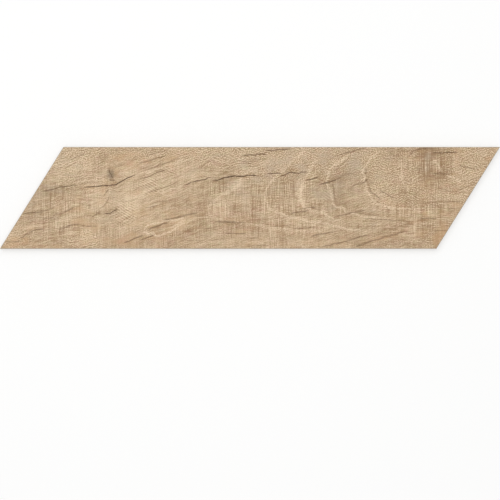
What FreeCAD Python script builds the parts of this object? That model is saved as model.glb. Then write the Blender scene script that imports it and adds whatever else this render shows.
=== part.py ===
"""Chevron wall tile: one dry-pressed and fired porcelain body with ground edges, lying on its keyed back.

The tile is a leaning parallelogram. X runs along its two long edges and Z rises from its back to its printed
face. The origin is the centre of the back, in the plane of its ribs.
"""

import FreeCAD, Part
import math
import os

# Outline and body, in millimetres and degrees
TIP_TO_TIP = 540.0  # overall length, from one acute corner to the other
WIDTH = 110.0  # square across the two long edges
THICKNESS = 10.0  # from the ribs of the back to the printed face
MITRE_ANGLE = 58.0  # between a long edge and a mitred end
FACE_BEVEL = 0.6  # 45 degree bevel ground round the face
BACK_BEVEL = 1.0  # 45 degree bevel round the back

# Keyed back: a lattice of ribs between shallow pockets that the adhesive fills
LAND = 6.0  # plain strip from the tile's edge to the first pockets
KEY_PITCH = 17.0  # spacing aimed at, which is then fitted to a whole number of pockets
RIB = 2.5  # thickness of a rib in the plane of the back
KEY_DEPTH = 0.8  # how far a pocket is sunk
KEY_DRAFT = 35.0  # slope of a pocket's walls away from upright
KEY_CORNER = 1.5  # what a clipped corner takes off each of the two walls that meet there
CORNER_LIMIT = 0.8  # share of a small pocket's walls that its corners may take up

NODE = "chevron_tile"


def lean(height):
    """How far the mitre carries a point along X while it goes up by height along Y."""
    return height / math.tan(math.radians(MITRE_ANGLE))


def mitre_width(thickness):
    """Length along X of a strip beside the mitred end that is this thick, square to that end."""
    return thickness / math.sin(math.radians(MITRE_ANGLE))


LONG_EDGE = TIP_TO_TIP - abs(lean(WIDTH))


def rhomboid(length, width, inset, z):
    """Corners of a leaning parallelogram about the Z axis, drawn in by inset on all four sides."""
    half_x = length / 2 - mitre_width(inset)
    half_y = width / 2 - inset
    return [
        FreeCAD.Vector(side * half_x + lean(up * half_y), up * half_y, z)
        for side, up in ((-1, -1), (1, -1), (1, 1), (-1, 1))
    ]


def flat_face(corners):
    """Plane face with these corners."""
    return Part.Face(Part.makePolygon(corners + corners[:1]))


def highest_face(solid):
    """The face of a solid whose centre is highest."""
    return max(solid.Faces, key=lambda face: face.CenterOfMass.z)


def lowest_face(solid):
    """The face of a solid whose centre is lowest."""
    return min(solid.Faces, key=lambda face: face.CenterOfMass.z)


def blank():
    """The pressed body with its square edges ground, before the back is keyed."""
    outline = flat_face(rhomboid(LONG_EDGE, WIDTH, 0, 0))
    body = outline.extrude(FreeCAD.Vector(0, 0, THICKNESS))
    body = body.makeChamfer(FACE_BEVEL, highest_face(body).Edges)
    return body.makeChamfer(BACK_BEVEL, lowest_face(body).Edges)


def fitted_pockets(room, rib):
    """(how many pockets, their pitch) that fill a room from end to end with ribs of this size between."""
    count = max(1, round((room + rib) / KEY_PITCH))
    return count, (room + rib) / count


def shortest_side(corners):
    """Length of the shortest side of the outline through these corners."""
    return min((corners[i] - corners[i - 1]).Length for i in range(len(corners)))


def pocket_cutter(length, width):
    """One pocket about the Z axis, with drafted walls and clipped corners. Length and width are at its mouth.

    The cutter reaches as far out below the back as the pocket is sunk into it.
    """
    draw = KEY_DEPTH * math.tan(math.radians(KEY_DRAFT))
    outside = rhomboid(length, width, -draw, -KEY_DEPTH)
    floor = rhomboid(length, width, draw, KEY_DEPTH)
    walls = [flat_face([outside[i - 1], outside[i], floor[i], floor[i - 1]]) for i in range(4)]
    pocket = Part.Solid(Part.Shell(walls + [flat_face(outside), flat_face(floor)]))
    rising = [edge for edge in pocket.Edges if edge.BoundBox.ZLength > KEY_DEPTH]
    corner = min(KEY_CORNER, CORNER_LIMIT * shortest_side(floor) / 2)
    return pocket.makeChamfer(corner, rising)


def back_keys():
    """All the pockets of the back, in rows that follow the lean of the mitred ends."""
    mitre_rib = mitre_width(RIB)
    columns, pitch_x = fitted_pockets(LONG_EDGE - 2 * mitre_width(LAND), mitre_rib)
    rows, pitch_y = fitted_pockets(WIDTH - 2 * LAND, RIB)
    pocket = pocket_cutter(pitch_x - mitre_rib, pitch_y - RIB)
    pockets = []
    for row in range(rows):
        y = (row - (rows - 1) / 2) * pitch_y
        for column in range(columns):
            x = (column - (columns - 1) / 2) * pitch_x + lean(y)
            pockets.append(pocket.translated(FreeCAD.Vector(x, y, 0)))
    return Part.makeCompound(pockets)


def chevron_tile():
    """The finished tile as one solid."""
    keyed = blank().cut(back_keys())
    return keyed.Solids[0]


os.makedirs("parts", exist_ok=True)
tile = chevron_tile()
tile.exportStep(os.path.join("parts", NODE + ".step"))
box = tile.optimalBoundingBox()
print(f"{NODE}: {box.XLength:.2f} x {box.YLength:.2f} x {box.ZLength:.2f} mm, {tile.Volume / 1000:.1f} cm3")
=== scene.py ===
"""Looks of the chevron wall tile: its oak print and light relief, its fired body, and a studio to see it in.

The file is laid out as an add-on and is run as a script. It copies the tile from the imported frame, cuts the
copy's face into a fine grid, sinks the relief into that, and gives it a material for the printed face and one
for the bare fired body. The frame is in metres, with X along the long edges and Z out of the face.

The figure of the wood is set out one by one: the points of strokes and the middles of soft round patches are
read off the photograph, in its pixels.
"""

import math
from types import SimpleNamespace
from typing import NamedTuple

import bpy
import numpy as np
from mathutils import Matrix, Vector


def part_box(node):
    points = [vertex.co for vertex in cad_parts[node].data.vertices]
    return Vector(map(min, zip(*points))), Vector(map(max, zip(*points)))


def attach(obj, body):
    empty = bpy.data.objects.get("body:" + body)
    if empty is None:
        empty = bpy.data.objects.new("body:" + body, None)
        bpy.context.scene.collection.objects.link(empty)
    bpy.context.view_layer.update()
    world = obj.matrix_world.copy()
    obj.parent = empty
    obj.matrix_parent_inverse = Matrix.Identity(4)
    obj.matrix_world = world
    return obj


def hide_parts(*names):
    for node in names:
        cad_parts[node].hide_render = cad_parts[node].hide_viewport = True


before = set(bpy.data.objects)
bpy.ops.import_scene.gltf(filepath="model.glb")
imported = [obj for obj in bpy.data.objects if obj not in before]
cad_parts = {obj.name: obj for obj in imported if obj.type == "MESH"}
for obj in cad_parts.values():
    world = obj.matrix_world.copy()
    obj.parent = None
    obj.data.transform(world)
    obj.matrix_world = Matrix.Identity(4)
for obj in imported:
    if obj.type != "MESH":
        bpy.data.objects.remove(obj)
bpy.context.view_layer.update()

bl_info = {
    "name": "Chevron wall tile",
    "version": (1, 0, 0),
    "blender": (4, 5, 0),
    "location": "3D View > Sidebar > Tile",
    "description": "An oak-effect chevron tile with its relief, fired body and studio",
    "category": "Add Mesh",
}

NODE = "chevron_tile"
MM = 0.001
TILE_LOW, TILE_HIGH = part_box(NODE)
THICKNESS = TILE_HIGH.z - TILE_LOW.z
WIDTH = TILE_HIGH.y - TILE_LOW.y
MITRE = math.radians(58)
LONG_EDGE = TILE_HIGH.x - TILE_LOW.x - WIDTH / math.tan(MITRE)

# How the photograph shows the tile
PHOTO_PIXELS = 500
PHOTO_MIDDLE = (250.0, 250.0)
TILE_MIDDLE = (249.9, 197.9)
PIXEL = 1.079 * MM


class Stroke(NamedTuple):
    """A line of the figure: its full width in millimetres, its strength from 0 to 1 and its pixels."""

    width: float
    strength: float
    pixels: tuple


# Fine drying splits and dark seams, which run with the fibres
SPLITS = {
    "left edge, thick": Stroke(2.0, 0.76, (
        (41, 191.5), (46, 190.7), (50, 190), (56, 188.3), (60, 187), (67, 186.4), (72, 185.5),
        (79, 184.8))),
    "left edge, tail": Stroke(1.5, 0.5, ((78, 184.8), (84, 183.5), (90, 182.8), (97, 182))),
    "past the knot": Stroke(1.7, 1.0, (
        (82, 188.2), (88, 187), (92, 186.8), (96, 186.5), (100, 186.2), (104, 185.7), (110, 185.5),
        (113, 185), (116, 184.5), (118, 183.2), (121, 181.7), (124, 180), (127, 178.4), (131, 176.6),
        (138, 174))),
    "knot, split": Stroke(1.7, 0.84, (
        (108.4, 168.6), (109.5, 171.5), (110.6, 173.8), (111.6, 175.8), (113, 178.4))),
    "knot, foot": Stroke(1.7, 0.8, ((109.2, 180.6), (112.4, 180.2), (115.2, 180.4))),
    "knot, side": Stroke(1.3, 0.4, ((113.2, 170.4), (113.8, 173.6), (114.6, 177))),
    "beside the knot": Stroke(2.0, 0.25, ((116.8, 170.6), (116.4, 176.4))),
    "chain, first": Stroke(1.5, 0.45, ((117.2, 154.2), (117.6, 157.8))),
    "chain, second": Stroke(1.5, 0.5, ((117.2, 159.5), (117.8, 161.6))),
    "chain, third": Stroke(1.4, 0.4, ((113.6, 162.8), (115.5, 165), (118, 167.2))),
    "left of the chain": Stroke(1.6, 0.45, ((104, 154.8), (105.2, 156))),
    "along the top edge": Stroke(1.3, 0.25, ((98, 150.7), (120, 150.5), (145, 150.3), (170, 150))),
    "near the top edge": Stroke(2.0, 0.45, (
        (145, 157), (150, 155), (155, 153), (160, 151.5), (165, 150.8), (171, 150))),
    "upper left of middle": Stroke(1.7, 0.66, (
        (138, 164.8), (143, 162.2), (147, 161.3), (150, 160.4), (153, 159.8), (158, 157.8), (161, 157.2),
        (167, 155.2))),
    "under the pale flank": Stroke(2.2, 0.58, (
        (146, 170.8), (151, 168.6), (155, 167), (160, 165), (165, 163.3), (170, 162), (175, 159.5),
        (182, 157.4))),
    "above the hatch": Stroke(1.7, 0.66, (
        (139, 178.6), (146, 177.5), (150, 176), (155, 173.5), (160, 171.5), (167, 169.6))),
    "arc over the middle": Stroke(1.5, 0.55, (
        (146, 193), (152, 191), (158, 189.5), (165, 187.3), (171, 184.9), (175.5, 182.5), (179.5, 180.2))),
    "right of the hatch": Stroke(1.3, 0.42, ((171, 178.9), (175, 177.3), (180, 175.8))),
    "swirl": Stroke(1.6, 0.7, ((103.4, 196.4), (106, 192.5), (109, 188.9))),
    "swirl, lower": Stroke(1.5, 0.58, ((100.4, 208.6), (104, 205.5), (107, 201.5), (109.2, 196.4))),
    "swirl, foot": Stroke(1.2, 0.3, ((106, 204.4), (105.5, 211.4))),
    "pin knot": Stroke(1.9, 0.45, ((134.8, 190.6), (137, 188.2))),
    "beside the pin knot": Stroke(2.0, 0.35, ((143.6, 196.2), (147.4, 193.8))),
    "spot under the knot": Stroke(1.6, 0.45, ((117.6, 188.3), (121.2, 185.9))),
    "under the knot, short": Stroke(1.6, 0.9, ((104.4, 213.5), (110, 213.5), (113, 211.5), (118.4, 209))),
    "under the knot, brown": Stroke(1.8, 0.42, ((108.6, 209.2), (112.5, 208.4), (116.6, 206.8))),
    "under the knot, thin": Stroke(1.2, 0.42, ((118, 201.6), (126, 201.3), (130, 200.5), (138, 199.1))),
    "left of the short one": Stroke(1.5, 0.65, ((91.2, 217.8), (94.5, 215.7), (97, 213.6), (101, 211.8))),
    "left dots": Stroke(1.7, 0.4, ((89.7, 202.4), (89.6, 209))),
    "under the pale dash": Stroke(1.4, 0.6, ((145, 207.8), (150, 206.9), (154, 206.3), (158, 204.8))),
    "over the pale dash": Stroke(1.6, 0.48, ((149, 205), (155, 203), (160, 201.5), (169, 200.8))),
    "over the eye, thin": Stroke(1.2, 0.42, ((139, 217.8), (143, 216.3), (147, 215.5), (154, 213.7))),
    "beside the eye, upper": Stroke(2.3, 0.68, (
        (162, 219.6), (169, 219.3), (173, 218.2), (178, 217.3), (183, 216), (190, 214.3), (198, 212.6))),
    "right of the eye": Stroke(1.5, 0.4, ((167, 233.7), (173, 232.5), (179, 231.1))),
    "eye, inner": Stroke(2.3, 0.75, (
        (148.2, 230.6), (151, 228.3), (155, 227), (160, 225.3), (163, 223.8), (169, 223))),
    "eye, upper tail": Stroke(1.9, 0.78, (
        (123, 242.8), (130, 240.7), (135, 238.3), (140, 236.8), (144, 235.2))),
    "eye, lower tail": Stroke(1.9, 0.78, ((139.4, 240.2), (145, 238.6), (150, 236.6), (155, 234.7))),
    "eye, third tail": Stroke(1.3, 0.35, ((134, 246), (138, 244), (142, 242.1))),
    "left edge, lower": Stroke(1.9, 0.72, (
        (21, 214.3), (26, 213.3), (30, 212.8), (36, 212.6), (41, 212.8), (44, 211.4))),
    "left edge, lower second": Stroke(1.9, 0.6, (
        (35, 211.1), (42, 210.8), (47, 210.2), (50, 209), (55, 207))),
    "left climb": Stroke(1.6, 0.55, (
        (42, 219.8), (48, 218), (51, 218.5), (53, 217), (55.5, 214), (59, 213.7), (65, 212.6))),
    "left climb, upper": Stroke(1.9, 0.7, ((63.6, 212.1), (67, 210.8), (70, 209.5), (74, 207.3))),
    "left climb, end": Stroke(1.5, 0.55, ((73.4, 206.7), (77, 206.2), (80.6, 206.1))),
    "left, red": Stroke(1.5, 0.38, ((19, 225.4), (30, 224.8), (40, 223.8), (48, 222.4))),
    "lower left dash": Stroke(1.8, 0.65, ((19.4, 238.4), (23, 237), (25, 235), (28.4, 233.8))),
    "lower left climb": Stroke(2.0, 0.7, ((27, 233.1), (31, 231.8), (34, 230.2), (37, 229.5), (45, 228.9))),
    "lower left corner": Stroke(2.0, 0.6, ((4, 241.8), (10, 241.8), (15, 241.6), (21, 241.1))),
    "lower left middle": Stroke(2.5, 0.68, (
        (58, 229.7), (62, 228.4), (65, 227.5), (68, 226.2), (71, 225), (76, 224.5), (81, 224.4))),
    "lower left middle, tail": Stroke(1.8, 0.62, (
        (80.4, 225.5), (85, 226), (89, 226.2), (93, 226.3), (97, 226.3))),
    "bottom left, red": Stroke(1.8, 0.4, ((34, 246.1), (39, 245.7), (44, 245.8))),
    "bottom, short": Stroke(2.0, 0.55, ((81.6, 247.3), (87.4, 246.9))),
    "left top, thin": Stroke(1.3, 0.42, ((61, 152.8), (66, 151.5), (69, 150.8), (74, 149.5))),
    "left top, short": Stroke(1.5, 0.6, ((73.4, 159.1), (76, 157.5), (80, 155.5), (85, 153.5))),
    "left top, spot": Stroke(1.9, 0.4, ((68.6, 160.3), (72.6, 158.8))),
    "left top, level": Stroke(1.4, 0.35, ((77, 150.3), (91, 150))),
    "middle climb": Stroke(1.6, 0.9, (
        (184.6, 185.4), (190, 183), (195, 181.5), (200, 180.3), (205, 179.5), (208, 178), (212.6, 176.8))),
    "long black": Stroke(1.9, 1.0, (
        (211.4, 180.5), (218, 180), (222, 178.5), (228, 177), (233, 176), (238, 176.3), (243, 176.3),
        (248, 175.4), (255, 175.5), (260, 177.3))),
    "long black, tail": Stroke(1.2, 0.45, ((259, 176.4), (265, 176.6), (270, 176.4))),
    "above the tail": Stroke(1.6, 0.88, ((266.5, 173.7), (271.7, 173.4), (276, 173.2), (282, 173.3))),
    "black, second": Stroke(1.7, 0.88, (
        (278.8, 176.9), (284, 175.3), (287, 174), (290, 172.4), (295, 173), (299, 173), (303, 172.2),
        (309, 172.5))),
    "to the first blot": Stroke(1.8, 0.85, (
        (305.6, 180.2), (310, 179.5), (314, 178.5), (316, 177.8), (319.4, 176.9))),
    "thick climb": Stroke(1.9, 0.85, (
        (318.4, 185.4), (322, 184), (326, 182.8), (329, 182), (332, 181), (336, 179.8), (339, 178.2),
        (342, 176.5))),
    "thick climb, wedge": Stroke(3.6, 0.42, ((336.6, 179.4), (343, 175.5), (348.4, 172.8))),
    "thick climb, end": Stroke(1.5, 0.5, ((346.6, 175), (352, 173), (356, 172), (362, 171.6))),
    "inside the fourth arch": Stroke(1.7, 0.55, (
        (331.4, 183), (333.5, 187), (334, 191), (334.5, 196), (335.2, 201))),
    "right of the fourth arch": Stroke(1.5, 0.5, (
        (351.6, 153.2), (348.5, 158), (346, 161), (342, 165), (340, 166.5), (337, 169), (332.4, 172))),
    "to the second blot": Stroke(1.6, 0.62, (
        (351, 186.3), (356, 184.8), (360, 184.2), (363, 182.8), (367, 180.9))),
    "second blot": Stroke(2.2, 0.8, ((364.6, 181.9), (366.3, 180.4), (368, 179.4))),
    "upper blot": Stroke(2.0, 0.65, ((367, 169.6), (366, 172), (365, 174.6))),
    "fifth arch, red edge": Stroke(1.5, 0.72, (
        (369.3, 186.2), (370.5, 190), (371.5, 192.5), (374, 194), (377, 196), (379, 198), (380.3, 200.8))),
    "fifth arch, second edge": Stroke(1.5, 0.66, (
        (379, 188.8), (382, 191.5), (385, 193), (388, 195), (391, 196.5), (395, 198.4))),
    "fifth arch, foot": Stroke(1.4, 0.42, ((371, 202.4), (375.5, 202.2), (381, 203.6))),
    "top seam": Stroke(2.2, 0.8, (
        (242, 155.7), (247, 155.3), (251, 154.8), (255, 155), (258, 154.2), (262, 154), (268, 154.6))),
    "top seam, upper": Stroke(2.0, 0.8, (
        (264, 150.1), (270, 150.5), (275, 150.3), (279, 149.6), (284, 149.3), (292, 148.3))),
    "ladder, first": Stroke(1.3, 0.55, ((249, 159.3), (264, 159.3))),
    "ladder, second": Stroke(1.3, 0.55, ((242, 161.4), (259, 161.4))),
    "ladder, third": Stroke(1.3, 0.5, ((242, 163.6), (253, 163.6))),
    "ladder, fourth": Stroke(1.3, 0.5, ((244, 166.5), (257, 166.5))),
    "ladder, left": Stroke(1.3, 0.5, ((224, 167.5), (236, 167.5))),
    "ladder, left second": Stroke(1.3, 0.5, ((224, 169.6), (236, 169.6))),
    "ladder, left third": Stroke(1.3, 0.5, ((224, 171.7), (236, 171.7))),
    "brown streak": Stroke(1.8, 0.38, ((200, 170), (204, 165), (207, 162), (213, 160.2))),
    "small dash": Stroke(1.3, 0.5, ((225.4, 186.6), (229, 188.5), (231, 189.9))),
    "faint dash": Stroke(1.2, 0.45, ((257.4, 190.5), (266.6, 190.5))),
    "faint dash, second": Stroke(1.2, 0.4, ((273.4, 191), (279.6, 191))),
    "upper right climb": Stroke(1.7, 0.68, (
        (338, 155.3), (344, 153.8), (348, 152.3), (351, 151.8), (355, 150.5), (358, 149.5), (362, 148.8),
        (367, 147.5))),
    "left of the brown patch": Stroke(1.9, 0.5, ((391, 154), (395, 155.6), (398, 155.2), (401, 154))),
    "brown climb": Stroke(2.0, 0.65, (
        (407.4, 157.2), (411.5, 153.5), (414, 151), (418, 149.4), (423, 149), (431, 148.8))),
    "blue black": Stroke(1.5, 0.95, (
        (431.6, 153.3), (436, 152.8), (440, 153), (444, 152.6), (450, 152.3), (458, 152.2))),
    "right brown seam": Stroke(1.9, 0.68, (
        (432, 173.6), (437, 173.4), (441, 173), (444, 174.2), (447, 174), (451, 173.4))),
    "right brown seam, lower": Stroke(1.8, 0.42, ((426, 176.1), (431, 176.6), (436, 178.3))),
    "right, small blot": Stroke(1.6, 0.42, ((414.4, 169.3), (419.6, 169.5))),
    "right, small climb": Stroke(1.6, 0.5, ((404, 183), (408, 181.6), (412, 179.7))),
    "right, dots": Stroke(1.8, 0.38, ((405.6, 186.4), (405.8, 194))),
    "right upper seam": Stroke(1.7, 0.65, (
        (458.6, 164.6), (462, 166), (465, 167), (468, 167.5), (471, 168.3), (475, 169.3))),
    "right end seam": Stroke(1.6, 0.5, ((436, 186.7), (443, 189), (448, 190.7), (453, 192), (459, 190.8))),
    "right end climb": Stroke(1.7, 0.55, (
        (459, 189.8), (466, 187), (469, 185.5), (472, 184.7), (477, 182.6))),
    "right end climb, upper": Stroke(1.6, 0.55, ((469, 180.3), (475, 178.6), (480, 177), (485, 174.4))),
    "right end dash": Stroke(1.6, 0.6, ((443, 202.1), (450, 201.8), (461, 201.6))),
    "right end dash, lower": Stroke(1.6, 0.42, ((447, 208.7), (455, 208.4), (461, 208.5))),
    "right end dash, slanting": Stroke(1.8, 0.38, ((442, 216.8), (447, 214.5), (453, 212.1))),
    "right low bar": Stroke(1.6, 0.55, ((433, 230.7), (448, 230.4))),
    "right cloth line": Stroke(1.7, 0.68, (
        (419, 218.6), (424, 218.6), (428, 218), (433, 218.6), (438, 218.1))),
    "right cloth line, upper": Stroke(1.8, 0.42, ((422, 202.6), (430, 202), (438, 202))),
    "right cloth line, red": Stroke(1.6, 0.42, ((404, 221.4), (421, 221))),
    "right cloth line, short": Stroke(1.5, 0.4, ((404.4, 224.6), (412, 224.4))),
    "over the bright line": Stroke(1.3, 0.5, ((194, 216.3), (204, 216.3))),
    "lower thick": Stroke(3.4, 0.72, ((216.4, 221.4), (222, 221.9), (228, 222), (237, 222.4))),
    "lower thick, tail": Stroke(1.6, 0.6, ((212, 220.9), (222, 222), (236, 222.4), (247, 222.5))),
    "lower green": Stroke(1.6, 0.5, ((196, 228.5), (213, 228.2))),
    "lower blue": Stroke(1.4, 0.4, ((186, 231.4), (194, 231.2))),
    "lower thin": Stroke(1.3, 0.42, ((213.4, 226.6), (220.6, 226.4))),
    "lower seam": Stroke(1.6, 0.72, ((224, 233.7), (230, 233.2), (235, 233.5), (240, 233.7), (247, 233.5))),
    "lower seam, second": Stroke(1.9, 0.55, ((246, 237.3), (251.4, 238.2), (258, 237.7))),
    "lower dashes": Stroke(1.4, 0.4, ((187, 240.5), (201, 240.1))),
    "lower dashes, second": Stroke(1.3, 0.4, ((205, 240.1), (227, 239.4))),
    "bottom red": Stroke(1.7, 0.45, ((246, 245.4), (269, 245.2))),
    "second arch, under": Stroke(1.7, 0.5, ((270, 226.1), (276, 226.3), (283, 225.6), (291, 226.2))),
    "under the arches": Stroke(1.9, 0.6, (
        (292, 228.8), (297, 228.5), (304, 228.3), (310, 227.6), (316, 227.5))),
    "to the small blot": Stroke(1.8, 0.72, (
        (289.6, 214), (295, 212.5), (299, 212), (303, 211.8), (309, 210.2))),
    "small blot": Stroke(1.6, 0.65, ((301, 209), (306, 208), (310, 207.4), (315, 207.6))),
    "small blot, end": Stroke(2.5, 0.85, ((311.8, 207.5), (315, 207.8))),
    "right of middle": Stroke(1.8, 0.68, (
        (335, 216.7), (341, 215.5), (346, 214.3), (350, 213), (353, 212.5), (357, 212.2), (361, 211),
        (366, 210))),
    "right of middle, thin": Stroke(1.3, 0.55, (
        (358, 213), (363, 213.8), (368, 214.8), (373, 215.2), (381, 216.1))),
    "right of middle, lower": Stroke(1.6, 0.65, (
        (360, 217.9), (368, 218.6), (375, 219), (382, 219.6), (388, 219.8), (395, 220.8), (399, 220),
        (404, 219.5))),
    "lower dark band": Stroke(2.2, 0.7, (
        (310, 236.8), (315, 235.3), (319, 234.2), (322, 234), (326, 233.2), (330, 232.5), (337, 231))),
    "bottom climb": Stroke(2.2, 0.68, (
        (320, 247.3), (326, 245.8), (331, 245), (335, 243.8), (340, 242.8), (345, 241.5), (350, 240),
        (355, 238.5), (359, 237), (364, 235.7), (371, 234.6))),
    "bottom climb, second": Stroke(2.4, 0.7, (
        (351, 247.2), (357, 246), (362, 244.5), (366, 243), (370, 241.5), (375, 240), (380, 238.8),
        (385, 236.8), (390, 235.8), (395, 234.4), (400, 232.8), (407, 230.6))),
    "bottom climb, band": Stroke(2.2, 0.45, ((382, 236), (394, 235.5))),
    "top right, red": Stroke(1.4, 0.42, ((385, 151.4), (400, 151.7), (414, 151.4), (424, 151.3))),
    "top right, level": Stroke(1.3, 0.35, ((372, 149.3), (392, 149.5), (408, 150))),
    "top right, lower": Stroke(1.4, 0.35, ((380, 158.3), (390, 158.8), (402, 158.2))),
    "top right, edge": Stroke(1.6, 0.6, ((423, 148), (434, 147.9))),
    "brown patch, level": Stroke(1.4, 0.4, ((417, 169.4), (421, 168.4), (426, 167))),
}

# Pale edges of the growth rings, which stand in nested arches open to the right
ARCHES = {
    "outer arch": Stroke(2.8, 0.36, (
        (284, 151.5), (270, 160), (262, 166), (252, 170.5), (243, 176), (240, 181), (237, 187), (228, 192),
        (221, 196.5), (213, 203), (209, 210), (212, 216), (222, 219.4), (236, 221), (244, 222),
        (250, 223.5), (256, 224.8), (262, 225), (266, 226.5), (272, 227.5), (278, 227.8), (284, 228.5),
        (291, 228.8), (301, 230.4), (316, 231), (326, 232.2))),
    "second arch": Stroke(2.2, 0.52, (
        (308, 151), (303, 153), (299, 156.5), (296, 158.5), (293, 161), (290, 164), (284, 170.6),
        (276.4, 176.4), (273, 180.4), (270, 184.5), (266.5, 190.5), (265.3, 195.5), (266.5, 201),
        (267.8, 206), (270, 208), (274, 210), (278, 212), (284, 214.5), (290, 217), (296, 217.6),
        (300, 219), (305, 219.8), (310, 221.5), (314, 221.3), (321, 221.7), (325, 223), (330, 224),
        (336, 225.5), (340, 226.2), (344, 228), (350, 229.4), (360, 229.7), (375, 230))),
    "third arch": Stroke(2.4, 0.54, (
        (319, 155), (316.5, 159.5), (313.5, 164.5), (310, 170), (307.5, 175), (304.5, 180.5), (302.5, 186),
        (300.5, 192), (300.3, 198), (302, 203), (305.5, 207), (311, 209.5), (315, 210.5), (318, 212),
        (321, 211), (325, 212.3), (328, 215.5), (334, 218.4), (346, 220))),
    "fourth arch": Stroke(2.2, 0.58, (
        (352, 152.6), (348, 156), (344.5, 158.5), (341, 161.5), (335, 164.5), (331, 168), (329, 172),
        (328, 176), (326.5, 181), (328, 184), (329.5, 188), (331.3, 193), (332.4, 198), (333.5, 203),
        (336, 205.8), (340, 207), (342.5, 207), (344.5, 208.5), (345, 210.5), (348, 211.5), (352, 212.5),
        (358, 214.5), (361, 216), (366, 216.5), (372, 216.8), (378, 217.3), (392, 218.2))),
    "fifth arch": Stroke(2.2, 0.58, (
        (382, 150), (379, 152), (376, 154.5), (373.5, 157), (371, 159), (369, 161.5), (367.5, 163.5),
        (366, 166), (364, 169), (362.5, 172), (364.5, 175), (365.6, 178), (364.6, 180.5), (366.8, 184),
        (366.2, 188), (367.5, 191), (370, 194.5), (372.5, 198.5), (376, 202), (383, 204.8), (390, 206.8),
        (398, 208), (410, 208.2), (424, 208.3))),
    "sixth arch": Stroke(3.4, 0.45, ((401, 157), (402, 170), (403, 178), (404.6, 185), (411, 192))),
}

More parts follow.
